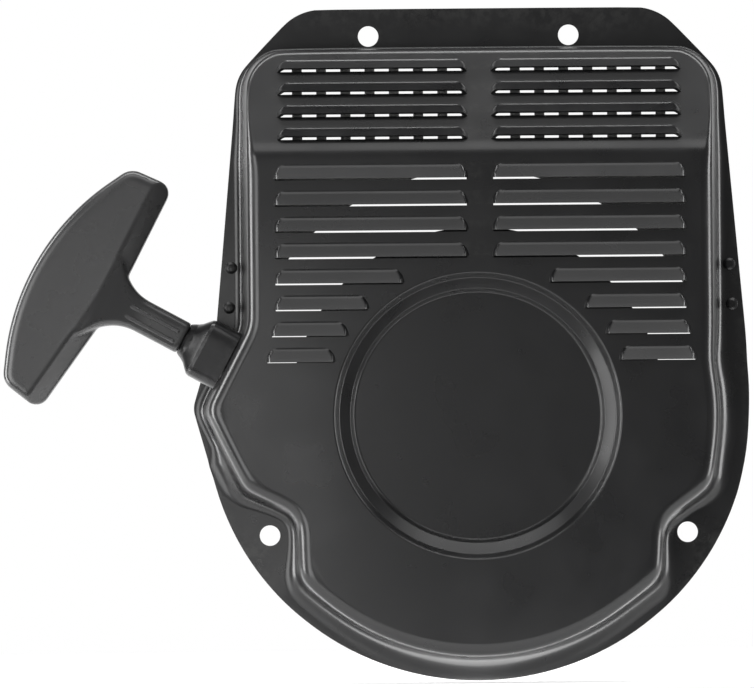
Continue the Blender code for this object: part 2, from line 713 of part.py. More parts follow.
def build_spring_retainer(look):
    axis = frame_at(0.0, 0.0)
    low = CUP_TOP + GAP
    high = low + 1.0
    plate = turned("spring_retainer", tube_profile(HUB_RADIUS + 0.5, 46.8, low, high), axis, look, 40)
    centres = [(BOSS_ORBIT * cos(radians(a)), BOSS_ORBIT * sin(radians(a))) for a in BOSS_ANGLES]
    holes = [circle(x, z, 1.5, 8) for x, z in centres]
    boolean(plate, prisms("retainer_holes", holes, low - 3.0, high + 3.0, axis), "DIFFERENCE")
    profile = [(0.0, low - 7.0), (1.2, low - 7.0), (1.2, high + GAP), (2.6, high + GAP), (2.2, high + 1.7),
               (0.0, high + 1.7)]
    for number, (x, z) in enumerate(centres, 1):
        turned(f"retainer_screw_{number}", profile, frame_at(x, z), look, 12)


def build_recoil_spring(look):
    """A flat strip wound in a spiral between the post and the pulley's cup."""
    made = bmesh.new()
    per_turn = 16
    count = per_turn * SPRING_TURNS
    grid = []
    for i in range(count + 1):
        angle = 2 * pi * i / per_turn
        radius = SPRING_INNER + (SPRING_OUTER - SPRING_INNER) * i / count
        ends = [(radius, SPRING_LOW), (radius + SPRING_STRIP, SPRING_LOW), (radius + SPRING_STRIP, SPRING_HIGH),
                (radius, SPRING_HIGH)]
        grid.append([made.verts.new((r * cos(angle), r * sin(angle), h)) for r, h in ends])
    for first, second in zip(grid, grid[1:]):
        ring_faces(made, first, second)
    made.faces.new(grid[0])
    made.faces.new(grid[-1])
    return finish_object("recoil_spring", made, frame_at(0.0, 0.0), look)


def smooth_route(points, steps):
    """Points of a Catmull-Rom curve through the route's own points."""
    ends = [points[0] * 2 - points[1]] + points + [points[-1] * 2 - points[-2]]
    route = []
    for k in range(1, len(ends) - 2):
        before, start, end, after = ends[k - 1], ends[k], ends[k + 1], ends[k + 2]
        for i in range(steps):
            t = i / steps
            route.append(0.5 * (2 * start + (end - before) * t + (2 * before - 5 * start + 4 * end - after) * t * t
                                + (3 * start - before - 3 * end + after) * t ** 3))
    route.append(points[-1])
    return route


def outer_coil_radius():
    return GROOVE_FLOOR + GAP + ROPE_RADIUS * (2 * ROPE_TURNS - 1)


def rope_tangent():
    """Where the rope meets its outermost turn, and the direction it leaves in."""
    inner = pull_frame() @ (Vector((0, -14.0, 0)) * MM) / MM
    x, z = inner.x, inner.z
    radius = outer_coil_radius()
    reach = hypot(x, z)
    spot = atan2(z, x) + acos(radius / reach)
    point = Vector((radius * cos(spot), -ROPE_DEPTH, radius * sin(spot)))
    along = (Vector((x, -ROPE_DEPTH, z)) - point).normalized()
    return point, along


def build_rope(look):
    """The rope's turns in the groove, its run from there through the eye into the handle, and its knots."""
    axis = frame_at(0.0, 0.0)
    low = ROPE_DEPTH - ROPE_RADIUS
    high = ROPE_DEPTH + ROPE_RADIUS
    rim = outer_coil_radius() + ROPE_RADIUS
    turned("rope_coil", tube_profile(GROOVE_FLOOR + GAP, rim, low, high, 0.8), axis, look, 48)
    tangent, along = rope_tangent()
    start = tangent + along * 26.0
    eye = pull_frame()
    inside = [eye @ (Vector((0, y, 0)) * MM) / MM for y in (-15.0, -10.5, -4.0, 8.0, 24.0, 40.0, 50.0, 58.0)]
    inside[0] = inside[0] + along * -1.2
    route = smooth_route([start] + inside, 4)
    curve = bpy.data.curves.new("rope_run", "CURVE")
    curve.dimensions = "3D"
    curve.bevel_depth = ROPE_RADIUS * MM
    curve.bevel_resolution = 2
    curve.use_fill_caps = True
    curve.materials.append(look)
    spline = curve.splines.new("POLY")
    spline.points.add(len(route) - 1)
    for target, point in zip(spline.points, route):
        target.co = (*(point * MM), 1.0)
    run = bpy.data.objects.new("rope_run", curve)
    bpy.context.scene.collection.objects.link(run)
    knot = [(0.0, 58.4), (3.0, 58.4), (5.2, 60.6), (5.2, 63.2), (3.0, 65.4), (0.0, 65.4)]
    turned("handle_knot", knot, along_pull(), look, 16)
    knot_x, knot_z = BOSS_ORBIT * cos(radians(KNOT_ANGLE)), BOSS_ORBIT * sin(radians(KNOT_ANGLE))
    small = [(0.0, -2.5), (1.4, -2.3), (2.3, -1.0), (2.3, 1.0), (1.4, 2.3), (0.0, 2.5)]
    turned("pulley_knot", small, frame_at(knot_x, knot_z, ROPE_DEPTH + 1.0), look, 12)


def build_rope_guide(look):
    """The flared eye on the shoulder, and the collar that holds it from inside the cover."""
    through = -WALL_BEHIND_EYE - SHEET - 3.6
    profile = [(BORE, -8.0), (BORE, NECK_START - GAP), (GUIDE_MOUTH, NECK_START - GAP), (GUIDE_MOUTH + 0.6, 10.8),
               (8.6, 8.6), (GUIDE_FLARE - 0.8, 6.3), (GUIDE_FLARE, 5.1), (GUIDE_FLARE, -8.0)]
    guide = turned("rope_guide", profile, along_pull(), look, 28)
    # The flare's base is cut parallel to the shoulder's wall, which leans out towards the flange.
    lean = Matrix.Rotation(atan2(WALL_LEAN, 1.0), 4, "X")
    wall = pull_frame() @ Matrix.Translation((0, (-WALL_BEHIND_EYE + 2 * GAP) * MM, 0)) @ lean
    box = [(-20.0, 0.0), (20.0, 0.0), (20.0, -12.0), (-20.0, -12.0)]
    boolean(guide, prism("wall_side", box, -20.0, 20.0, wall, None), "DIFFERENCE")
    boolean(guide, turned("guide_neck", tube_profile(BORE, 6.5, through, -3.0), along_pull(), None, 28), "UNION")
    turned("guide_collar", tube_profile(6.8, 10.5, through + 0.2, through + 1.7), along_pull(), look, 24)


def pawl_outline():
    """A hooked arm about its own pin: the toe points round the pulley."""
    return [(0.0, -4.4), (4.0, -3.4), (12.0, -4.2), (18.5, -2.4), (19.5, 0.6), (13.0, 1.0), (8.0, 2.6),
            (3.0, 4.2), (0.0, 4.6), (-3.4, 3.2), (-4.6, 0.0), (-3.4, -3.2)]


def build_pawls(steel):
    for tag, angle in zip("ab", PAWL_ANGLES):
        x, z = PAWL_ORBIT * cos(radians(angle)), PAWL_ORBIT * sin(radians(angle))
        place = frame_at(x, z) @ Matrix.Rotation(radians(angle + 90.0), 4, "Z")
        pawl = prism(f"pawl_{tag}", pawl_outline(), PAWL_REAR, PAWL_FRONT, place, steel)
        boolean(pawl, prism("peg", circle(9.0, -1.0, 1.5, 10), GUIDE_REAR + 0.2, PAWL_REAR + 1.0, place, None), "UNION")
        bore = prism("pawl_bore", circle(0.0, 0.0, PIN_RADIUS + GAP, 12), 0.0, 20.0, place, None)
        boolean(pawl, bore, "DIFFERENCE")
        pin = [(0.0, WEB_FRONT - 0.5), (PIN_RADIUS, WEB_FRONT - 0.5), (PIN_RADIUS, PAWL_REAR - GAP),
               (3.4, PAWL_REAR - GAP), (3.0, PAWL_REAR - 1.3), (0.0, PAWL_REAR - 1.3)]
        turned(f"pawl_pin_{tag}", pin, place, steel, 12)


def build_guide_plate(look, spring):
    """The friction plate that swings the pawls out, its spring and the screw that holds the stack."""
    axis = frame_at(0.0, 0.0)
    outline = []
    for angle in range(0, 360, 4):
        in_notch = min(abs((angle - notch - 180) % 360 - 180) for notch in GUIDE_NOTCHES) <= GUIDE_NOTCH_HALF
        radius = GUIDE_NOTCH_FLOOR if in_notch else GUIDE_RADIUS
        outline.append((radius * cos(radians(angle)), radius * sin(radians(angle))))
    plate = prism("guide_plate", outline, GUIDE_REAR, GUIDE_FRONT, axis, look)
    boolean(plate, prism("guide_bore", circle(0.0, 0.0, POST_NECK + GAP, 24), 0.0, 20.0, axis, None), "DIFFERENCE")
    turned("thrust_washer", tube_profile(POST_NECK + GAP, 11.5, 10.8, POST_SHOULDER - GAP), axis, look, 28)
    turned("friction_spring", tube_profile(POST_NECK + GAP, 10.5, 4.5, GUIDE_REAR - GAP), axis, spring, 28)
    turned("screw_washer", tube_profile(SCREW_SHANK + GAP, 12.0, 3.0, POST_END - GAP), axis, look, 28)
    hexagon = SCREW_ACROSS_FLATS / 2 / cos(radians(30))
    screw = prism("centre_screw", circle(0.0, 0.0, hexagon, 6), -1.0, 1.6, axis, look)
    flange = turned("screw_flange", tube_profile(0.0, 7.5, 1.2, 2.7), axis, None, 24)
    boolean(screw, flange, "UNION")
    shank = turned("screw_shank", tube_profile(0.0, SCREW_SHANK, 2.0, 20.0), axis, None, 16)
    boolean(screw, shank, "UNION")


def tilted(x, y):
    """The point after the grip's own small turn on its neck."""
    turn = radians(GRIP_TILT)
    up = y - GRIP_PIVOT
    return x * cos(turn) - up * sin(turn), GRIP_PIVOT + x * sin(turn) + up * cos(turn)


def grip_outline():
    """The T-handle seen from the front: neck, straight inner edge, round ends and arched outer edge."""
    inner = [(NECK_HALF_WIDTH, NECK_START, 1.0, 3), (NECK_HALF_WIDTH, GRIP_INNER, 9.0, 6),
             (GRIP_HALF_LENGTH, GRIP_INNER_END, 4.0, 4), (GRIP_HALF_LENGTH - 2.0, 59.0, 6.0, 4)]
    arch = []
    for x in (34.0, 26.0, 17.0, 8.0, 0.0):
        arch.append((x, GRIP_APEX - GRIP_ARC + sqrt(GRIP_ARC ** 2 - x * x), 0.0, 1))
    corners = inner + arch + [(-x, y, radius, count) for x, y, radius, count in reversed(inner + arch[:-1])]
    leaning = [((x, y) if y == NECK_START else tilted(x, y)) + (radius, count) for x, y, radius, count in corners]
    return [tuple(point) for point in rounded(leaning)]


def build_handle(grip_look, steel):
    eye = pull_frame()
    grip = prism("handle_grip", grip_outline(), -GRIP_HALF_DEPTH, GRIP_HALF_DEPTH, eye, grip_look)
    bevel = grip.modifiers.new("soft_edge", "BEVEL")
    bevel.width = GRIP_BEVEL * MM
    bevel.segments = 3
    bevel.limit_method = "ANGLE"
    bevel.angle_limit = radians(60)
    bore = turned("grip_bore", tube_profile(0.0, BORE, 5.0, POCKET_FLOOR + 2.0), along_pull(), None, SMALL_ROUND)
    boolean(grip, bore, "DIFFERENCE")
    pocket = turned("grip_pocket", tube_profile(0.0, POCKET_RADIUS, POCKET_FLOOR, 80.0), along_pull(), None, 20)
    boolean(grip, pocket, "DIFFERENCE")
    washer = tube_profile(ROPE_RADIUS + GAP, POCKET_RADIUS - GAP, POCKET_FLOOR + GAP, POCKET_FLOOR + 1.8)
    turned("handle_insert", washer, along_pull(), steel, 20)
    turned("handle_plug", tube_profile(0.0, POCKET_RADIUS - GAP, 66.2, 69.8, 0.6), along_pull(), grip_look, 20)


def main():
    clear_scene()
    painted = material("black_painted_steel", (0.018, 0.018, 0.020), 0.32, 0.0)
    plated = material("zinc_plated_steel", (0.55, 0.55, 0.54), 0.38, 1.0)
    nylon = material("black_nylon", (0.030, 0.030, 0.032), 0.50, 0.0)
    spring = material("spring_steel", (0.22, 0.24, 0.28), 0.35, 1.0)
    rope = material("starter_rope", (0.70, 0.69, 0.66), 0.85, 0.0)
    grip = material("handle_plastic", (0.022, 0.023, 0.024), 0.42, 0.0)
    build_cover(painted)
    build_screen(plated)
    build_rivets(painted)
    build_post(plated)
    build_pulley(nylon)
    build_spring_retainer(plated)
    build_recoil_spring(spring)
    build_rope(rope)
    build_rope_guide(nylon)
    build_pawls(plated)
    build_guide_plate(plated, spring)
    build_handle(grip, plated)


main()
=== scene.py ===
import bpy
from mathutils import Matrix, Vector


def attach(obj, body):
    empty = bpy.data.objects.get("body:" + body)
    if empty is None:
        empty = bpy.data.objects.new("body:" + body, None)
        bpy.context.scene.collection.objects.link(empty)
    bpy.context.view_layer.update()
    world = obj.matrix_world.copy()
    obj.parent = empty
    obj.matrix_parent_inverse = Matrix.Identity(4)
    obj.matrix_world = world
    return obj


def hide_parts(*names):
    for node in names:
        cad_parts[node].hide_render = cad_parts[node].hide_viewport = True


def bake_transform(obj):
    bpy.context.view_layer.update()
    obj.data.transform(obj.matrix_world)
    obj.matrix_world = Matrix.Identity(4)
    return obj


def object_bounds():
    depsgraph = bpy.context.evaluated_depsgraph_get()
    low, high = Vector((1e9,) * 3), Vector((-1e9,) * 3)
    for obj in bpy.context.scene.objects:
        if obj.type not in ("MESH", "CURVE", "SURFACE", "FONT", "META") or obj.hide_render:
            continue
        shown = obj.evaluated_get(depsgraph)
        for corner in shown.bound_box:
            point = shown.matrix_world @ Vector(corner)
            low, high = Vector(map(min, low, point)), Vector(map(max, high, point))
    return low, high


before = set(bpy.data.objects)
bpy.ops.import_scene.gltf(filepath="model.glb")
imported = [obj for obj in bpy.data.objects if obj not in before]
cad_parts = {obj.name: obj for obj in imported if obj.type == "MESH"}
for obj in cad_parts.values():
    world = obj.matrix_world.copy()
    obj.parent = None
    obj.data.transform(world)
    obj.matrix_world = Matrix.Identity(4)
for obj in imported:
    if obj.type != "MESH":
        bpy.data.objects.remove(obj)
CAD_BOX = [list(corner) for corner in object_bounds()]

from math import acos, atan2, cos, hypot, pi, radians, sin, sqrt, tan

import bmesh
import bpy
from mathutils import Matrix, Vector

# Sizes are in millimetres, as in the CAD, and "depth" is the distance in front of the flange's rear face.

MM = 0.001
GAP = 0.3  # clearance between neighbouring pieces

# Cover: the sheet and its depths
SHEET = 1.2
FACE_DEPTH = 40.0
BODY_CENTRE = 1.4  # the louvred body's middle lies a little to the right of the crankshaft axis
BODY_HALF_WIDTH = 81.4
BODY_TOP = 128.4
BODY_CORNER = 14.5
FACE_ROUND = 4.5
SLOPE_ROUND = 1.6  # the rounding is tighter beside the slope
SIDE_FILLET = 3.2
CORNER_FILLET = 2.2
TOP_FILLET = 0.6
RING_FILLET = 6.5
NOTCH_FILLET = 3.2
SIDE_DRAFT = 1.7  # how far the side walls lean out from face to flange
SLOPE_START = 93.0
SLOPE_ANGLE = 31.0
SLOPE_BLEND = 3.0
BODY_RING = 84.2
BULGE_RING = 84.4
FOOT_RING = 84.9
FLANGE_RING = 95.3
FLANGE_FLAT = 2.2  # how much less the flange reaches at the bottom than at the sides
FLANGE_TOP = 142.8

# Round dish in the face
DISH_OUTER = 49.4
DISH_INNER = 43.3
DISH_DEPTH = 6.0

# Bolt holes, for M6
BOLT_HOLE = 3.6
BOLTS = ((-37.2, 133.2), (33.0, 133.2), (-73.1, -41.6), (73.4, -41.5))

# Louvres
LOUVRE_PITCH = 9.15
LOUVRE_HEIGHT = 5.1
LOUVRE_PROUD = 2.7
LOUVRE_END = 4.6
LOUVRE_END_SLOPE = 1.9  # the ends are this steep, the blade itself is a flat ramp
LOUVRE_SKIN = 1.0
LOUVRE_SLIT = 0.6
LOWEST_SLIT = 0.2  # the slots under the lower rows get narrower
SLOPE_SLIT = -0.1  # below zero, the slot ends above the lip
LOUVRE_GAP = 4.1  # half the plain strip between the two columns
LOUVRE_REACH = 72.2
SLOPE_REACH = 70.6
LOUVRE_LOWER_REACH = (73.5, 75.2)  # the two lowest rows are wider
LOUVRE_TOP_ROW = 83.2
LOUVRE_ROWS = 8
SLOPE_TOP_ROW = 120.6
SLOPE_PITCH = 7.95  # measured straight down, not along the slope
SLOPE_ROWS = 4
LOUVRE_CLEAR = 53.0  # short rows stop on this circle round the dish

# Perforated screen and its rivets
SCREEN_SHEET = 1.0
RIVETS = ((-86.0, 52.4), (-86.8, 38.4), (88.8, 52.4), (89.6, 38.4))
RIVET_SHANK = 1.2
RIVET_HEAD = 2.1
RIVET_HEAD_DEPTH = 0.7

# Rope, and the eye it leaves through
ROPE_RADIUS = 2.25
ROPE_DEPTH = 17.6
ROPE_TURNS = 3
PULL_ANGLE = 28.5
EYE = (-91.7, 21.9)
WALL_BEHIND_EYE = 5.1
WALL_LEAN = 0.045  # how far the shoulder's wall leans out for each unit of depth

# Pulley
PULLEY_RADIUS = 66.0
GROOVE_FLOOR = 49.5
GROOVE_HALF_WIDTH = 3.0
RIM_WALL = 1.6
RIM_INNER = 47.0
WEB_REAR = 13.0
WEB_FRONT = 15.5
CUP_INNER = 39.3
CUP_OUTER = 41.0
CUP_TOP = 27.6
HUB_RADIUS = 11.8
HUB_TOP = 28.0
HUB_BORE = 8.3
BOSS_RADIUS = 2.7
BOSS_BORE = 1.5
BOSS_ORBIT = 44.0
BOSS_ANGLES = (95.0, 215.0, 335.0)
KNOT_ANGLE = 35.0

# Post, washers and screw on the crankshaft axis
POST_RADIUS = 8.0
POST_NECK = 5.0
POST_TOP = 30.7
POST_SHOULDER = 12.2
POST_END = 4.3
POST_THREAD = 3.3
SCREW_SHANK = 3.0
SCREW_ACROSS_FLATS = 10.0

# Spiral spring
SPRING_INNER = 13.0
SPRING_OUTER = 37.6
SPRING_TURNS = 7
SPRING_STRIP = 0.7
SPRING_LOW = 16.2
SPRING_HIGH = 26.6

# Pawls and guide plate
PAWL_ORBIT = 29.0
PAWL_REAR = 8.4
PAWL_ANGLES = (80.0, 260.0)
PIN_RADIUS = 2.0
GUIDE_REAR = 5.6

# Handle, measured along the rope from the eye
NECK_START = 12.4
NECK_HALF_WIDTH = 5.8
GRIP_INNER = 39.6
GRIP_INNER_END = 42.9
GRIP_APEX = 70.5
GRIP_ARC = 85.0
GRIP_HALF_LENGTH = 45.6
GRIP_TILT = -3.0  # the grip leans a little on its neck
GRIP_PIVOT = 52.0
GRIP_HALF_DEPTH = 12.0
GUIDE_MOUTH = 6.0
GUIDE_FLARE = 12.9
BORE = 2.8
POCKET_RADIUS = 7.0
POCKET_FLOOR = 56.0

# Heights of the outline points down the louvred body's straight sides
SIDE_ROWS = (104.0, 96.0, 94.2, 93.0, 91.8, 90.0, 74.0, 57.0)
LOW_ROWS = (40.0, 26.0)
LEFT_SHOULDER_SLOPE = 62.5

# Counts, finer than the CAD's
REFINE = 3
ARC_STEPS = 6
FINE = 128
HOOD_STEPS = 14
COIL_POINTS = 900
RAMP_START = 0.22  # the share of a louvre's height over which its ramp begins to rise
TOP_CORNER = 8 * REFINE  # outline points from the start of a top corner to its end
CREASE = 38.0  # a bend sharper than this is drawn as an edge

# Camera: its place is in metres
FRAME_WIDTH = 754
MM_A_PIXEL = 0.35
SENSOR = 36.0
CAMERA_DISTANCE = 8.0
CAMERA_ROLL = -0.49
CAMERA_CENTRE = (-0.0350, -0.020, 0.0253)

# Finish of the rope and the handle
STRAND_PITCH = 11.0
STRAND_HEIGHT = 0.10  # as a share of the rope's radius
VOXEL = 0.55  # the grip and its neck are joined into one skin at this size


def frame_at(x, z, depth=0.0):
    """A frame whose local Z points to the front: local X is world X and local Y is world Z."""
    axes = Matrix(((1, 0, 0), (0, 0, -1), (0, 1, 0))).to_4x4()
    return Matrix.Translation(Vector((x, -depth, z)) * MM) @ axes


AXIS = frame_at(0.0, 0.0)


def pull_frame():
    """The frame at the eye: local X is across the rope, local Y along the pull and local Z to the front."""
    turn = radians(PULL_ANGLE)
    across = Vector((sin(turn), 0, cos(turn)))
    along = Vector((-cos(turn), 0, sin(turn)))
    axes = Matrix((across, along, across.cross(along))).transposed().to_4x4()
    return Matrix.Translation(Vector((EYE[0], -ROPE_DEPTH, EYE[1])) * MM) @ axes


def on_pull(distance):
    """A point on the rope's straight run, in world millimetres, by its distance from the eye."""
    return pull_frame() @ (Vector((0, distance, 0)) * MM) / MM


def along_pull():
    """The frame at the eye with local Z along the pull, for turned pieces."""
    return pull_frame() @ Matrix.Rotation(radians(-90), 4, "X")


def ring_faces(made, first, second):
    """Quads between two closed rings of vertices, or triangles where a ring is one vertex."""
    count = max(len(first), len(second))
    for i in range(count):
        j = (i + 1) % count
        corners = [first[i % len(first)], first[j % len(first)]]
        corners += [second[j % len(second)], second[i % len(second)]]
        made.faces.new(list(dict.fromkeys(corners)))


def strip(made, first, second):
    """Quads between two open rows of vertices."""
    for k in range(len(first) - 1):
        made.faces.new((first[k], second[k], second[k + 1], first[k + 1]))


def loft(made, rings):
    """A closed solid through rings of vertices, with both ends capped."""
    made.faces.new(rings[0])
    made.faces.new(rings[-1])
    for first, second in zip(rings, rings[1:]):
        ring_faces(made, first, second)


def circle(x, y, radius, sides):
    """The corners of a regular polygon."""
    angles = [2 * pi * i / sides for i in range(sides)]
    return [(x + radius * cos(angle), y + radius * sin(angle)) for angle in angles]


def circles(centres, radius, sides):
    """An outline for each centre."""
    return [circle(x, y, radius, sides) for x, y in centres]


def on_orbit(radius, angles):
    """Points on a circle about the crankshaft axis, at angles in degrees."""
    return [(radius * cos(radians(angle)), radius * sin(radians(angle))) for angle in angles]


def new_object(name, data):
    obj = bpy.data.objects.new(name, data)
    bpy.context.scene.collection.objects.link(obj)
    return obj


def polar(radius, first, last, count, flat=0.0):
    """Points of an arc about the crankshaft axis, as sharp corners; flat shortens it towards the bottom."""
    points = []
    for i in range(count):
        angle = radians(first + (last - first) * i / (count - 1))
        reach = radius - flat * sin(angle) ** 2
        points.append((reach * cos(angle), reach * sin(angle), 0.0, 1))
    return points


def rounded(corners):
    """The points of a closed outline whose corners (x, y, radius, points) are rounded off."""
    points = []
    for k, (x, y, radius, count) in enumerate(corners):
        corner = Vector((x, y))
        if radius <= 0:
            points.append(corner)
            continue
        before = (Vector(corners[k - 1][:2]) - corner).normalized()
        after = (Vector(corners[(k + 1) % len(corners)][:2]) - corner).normalized()
        half = before.angle(after) / 2
        centre = corner + (before + after).normalized() * radius / sin(half)
        start = corner + before * radius / tan(half) - centre
        end = corner + after * radius / tan(half) - centre
        swing = atan2(start.x * end.y - start.y * end.x, start.dot(end))
        for i in range(count):
            angle = swing * i / (count - 1)
            turn = Matrix.Rotation(angle, 2)
            points.append(centre + turn @ start)
    return points


def face_depth(z):
    """Depth of the face's outer surface: flat, then sloping back over the top section."""
    drop = tan(radians(SLOPE_ANGLE))
    past = z - SLOPE_START
    if past <= -SLOPE_BLEND:
        return FACE_DEPTH
    if past >= SLOPE_BLEND:
        return FACE_DEPTH - past * drop
    return FACE_DEPTH - drop * (past + SLOPE_BLEND) ** 2 / (4 * SLOPE_BLEND)


def cover_outline(draft, top, corner, side_arc, right_notch, ring_arc, left_notch, shoulder, rounds):
    """Straight sides, a bulge on the right, the ring with its two notches, and the left shoulder."""
    left = BODY_CENTRE - BODY_HALF_WIDTH - draft
    right = BODY_CENTRE + BODY_HALF_WIDTH + draft
    shoulder_top = shoulder[1] + (left - shoulder[0]) * tan(radians(LEFT_SHOULDER_SLOPE))
    corners = [(left, top, corner, 9), (right, top, corner, 9)]
    corners += [(right, z, 0.0, 1) for z in SIDE_ROWS + LOW_ROWS]
    corners += polar(*side_arc) + right_notch + polar(*ring_arc) + left_notch
    corners += [(*shoulder, rounds[0], 5), (left, shoulder_top, rounds[1], 5)]
    corners += [(left, z, 0.0, 1) for z in reversed(SIDE_ROWS)]
    return rounded(corners)


def body_outline():
    """The edge where face and wall would meet if it weren't rounded."""
    return cover_outline(0.0, BODY_TOP, BODY_CORNER, (BULGE_RING, 13.0, -11.0, 5),
                         [(81.6, -25.0, 11.5, 4), (64.6, -37.6, 11.5, 5), (63.8, -57.2, 11.0, 4)],
                         (BODY_RING, -50.0, -130.0, 13),
                         [(-62.6, -57.2, 10.5, 4), (-63.0, -34.4, 9.5, 5), (-81.4, -25.4, 11.0, 4)],
                         (-95.2, 2.6), (9.0, 15.0))


def foot_outline():
    """The edge where wall and flange would meet if it weren't filleted."""
    return cover_outline(SIDE_DRAFT, BODY_TOP + 0.5, BODY_CORNER + 0.7, (FOOT_RING, 13.0, -11.5, 5),
                         [(82.5, -26.2, 11.0, 4), (65.4, -38.7, 10.7, 5), (64.6, -57.9, 10.5, 4)],
                         (FOOT_RING, -49.7, -130.3, 13),
                         [(-63.4, -57.9, 10.0, 4), (-63.8, -35.4, 8.8, 5), (-82.5, -26.5, 10.4, 4)],
                         (-96.6, 2.6), (8.0, 13.0))


def flange_side(z):
    """Half the flange's width beside the louvred body: it widens downwards."""
    return 85.4 + (113.0 - z) * 0.089


def flange_outline():
    """The flange's outer edge."""
    corners = [(BODY_CENTRE - flange_side(117.0), 119.5, 16.0, 4), (-61.6, FLANGE_TOP, 19.0, 5)]
    corners += [(64.2, FLANGE_TOP, 19.0, 5), (BODY_CENTRE + flange_side(117.0), 119.5, 16.0, 4)]
    corners += [(BODY_CENTRE + flange_side(z), z, 0.0, 1) for z in SIDE_ROWS + LOW_ROWS]
    corners += [(94.8, 18.0, 0.0, 1), (95.4, 10.0, 0.0, 1)]
    for first, last, count in ((0.0, -15.5, 3), (-18.0, -25.0, 4), (-28.0, -43.0, 9),
                               (-47.0, -133.0, 13), (-137.0, -151.0, 9), (-154.0, -166.0, 4)):
        corners += polar(FLANGE_RING, first, last, count, FLANGE_FLAT)
    corners += [(-99.8, 3.2, 9.0, 5), (BODY_CENTRE - flange_side(30.0), 31.0, 12.0, 5)]
    corners += [(BODY_CENTRE - flange_side(z), z, 0.0, 1) for z in reversed(SIDE_ROWS)]
    return rounded(corners)


def outward(outline):
    """The outward direction at each point of a clockwise outline."""
    directions = []
    for i, point in enumerate(outline):
        before = (point - outline[i - 1]).normalized()
        after = (outline[(i + 1) % len(outline)] - point).normalized()
        tangent = (before + after).normalized()
        directions.append(Vector((-tangent.y, tangent.x)))
    return directions


def eased(value, start, end):
    """0 before start, 1 after end and straight between them."""
    return min(1.0, max(0.0, (value - start) / (end - start)))


def edge_round(z):
    """Radius of the rounding between face and wall."""
    return FACE_ROUND + (SLOPE_ROUND - FACE_ROUND) * eased(z, 86.0, 104.0)


def foot_fillet(x, z):
    """Radius of the fillet at the wall's foot: small at the top and by a lower bolt, wide round the ring."""
    if z > 90.0:
        side = SIDE_FILLET + (CORNER_FILLET - SIDE_FILLET) * eased(z, 90.0, 104.0)
        return side + (TOP_FILLET - side) * eased(z, 112.0, 127.0)
    to_bolt = min(hypot(x - bolt_x, z - bolt_z) for bolt_x, bolt_z in BOLTS[2:])
    ring = eased(-z, -30.0, -10.0)
    if x < 0 and z > -10:
        ring = 0.0
    wide = SIDE_FILLET + (RING_FILLET - SIDE_FILLET) * ring
    near = eased(to_bolt, 9.0, 21.0)
    return NOTCH_FILLET + (wide - NOTCH_FILLET) * near


def louvres():
    """(centre x, lip z, length, slot's height below the lip) of every louvre."""
    rows = [(SLOPE_TOP_ROW - k * SLOPE_PITCH, SLOPE_REACH, SLOPE_SLIT) for k in range(SLOPE_ROWS)]
    for k in range(LOUVRE_ROWS):
        low = k - (LOUVRE_ROWS - len(LOUVRE_LOWER_REACH))
        lower = max(0.0, (k - 3) / (LOUVRE_ROWS - 4))
        rows.append((LOUVRE_TOP_ROW - k * LOUVRE_PITCH, LOUVRE_LOWER_REACH[low] if low >= 0 else LOUVRE_REACH,
                     LOUVRE_SLIT + (LOWEST_SLIT - LOUVRE_SLIT) * lower))
    found = []
    for z, reach, slit in rows:
        clear = sqrt(LOUVRE_CLEAR ** 2 - z * z) if z < LOUVRE_CLEAR else 0.0
        for side in (-1, 1):
            near = BODY_CENTRE + side * LOUVRE_GAP
            if clear > abs(near):
                near = side * clear
            far = BODY_CENTRE + side * reach
            found.append(((near + far) / 2, z, abs(far - near), slit))
    return found


def slope_frame(x, z):
    """The frame of a louvre, on the face's outer surface: local Y up the surface, local Z out of it."""
    tilt = radians(SLOPE_ANGLE) if z > SLOPE_START else 0.0
    return frame_at(x, z, face_depth(z)) @ Matrix.Rotation(-tilt, 4, "X")


def smooth_route(points, steps):
    """Points of a Catmull-Rom curve through the route's own points."""
    ends = [points[0] * 2 - points[1]] + points + [points[-1] * 2 - points[-2]]
    route = []
    for k in range(1, len(ends) - 2):
        before, start, end, after = ends[k - 1], ends[k], ends[k + 1], ends[k + 2]
        for i in range(steps):
            t = i / steps
            square = 2 * before - 5 * start + 4 * end - after
            cube = 3 * start - before - 3 * end + after
            route.append(0.5 * (2 * start + (end - before) * t + square * t * t + cube * t ** 3))
    route.append(points[-1])
    return route


def outer_coil_radius():
    """Radius of the middle of the rope's outermost turn."""
    return GROOVE_FLOOR + GAP + ROPE_RADIUS * (2 * ROPE_TURNS - 1)


def rope_tangent():
    """Where the rope meets its outermost turn, and the direction it leaves in."""
    x, _, z = on_pull(-14.0)
    radius = outer_coil_radius()
    reach = hypot(x, z)
    spot = atan2(z, x) + acos(radius / reach)
    point = Vector((radius * cos(spot), -ROPE_DEPTH, radius * sin(spot)))
    along = (Vector((x, -ROPE_DEPTH, z)) - point).normalized()
    return point, along


def tilted(x, y):
    """The point after the grip's own small turn on its neck."""
    turn = radians(GRIP_TILT)
    up = y - GRIP_PIVOT
    return x * cos(turn) - up * sin(turn), GRIP_PIVOT + x * sin(turn) + up * cos(turn)


def build_camera():
    """A long lens straight in front of the cover, turned a little, as the photograph is."""
    data = bpy.data.cameras.new("camera")
    camera = new_object("camera", data)
    data.sensor_width = SENSOR
    data.lens = SENSOR * CAMERA_DISTANCE / (MM_A_PIXEL * FRAME_WIDTH * MM)
    data.clip_end = 50.0
    turn = Matrix.Rotation(radians(90), 4, "X") @ Matrix.Rotation(radians(CAMERA_ROLL), 4, "Z")
    back = Vector((0.0, -CAMERA_DISTANCE, 0.0))
    camera.matrix_world = Matrix.Translation(Vector(CAMERA_CENTRE) + back) @ turn
    bpy.context.scene.camera = camera


# Materials


def set_sockets(node, values):
    """Sets a node's unlinked inputs by name."""
    for name, value in values.items():
        node.inputs[name].default_value = value


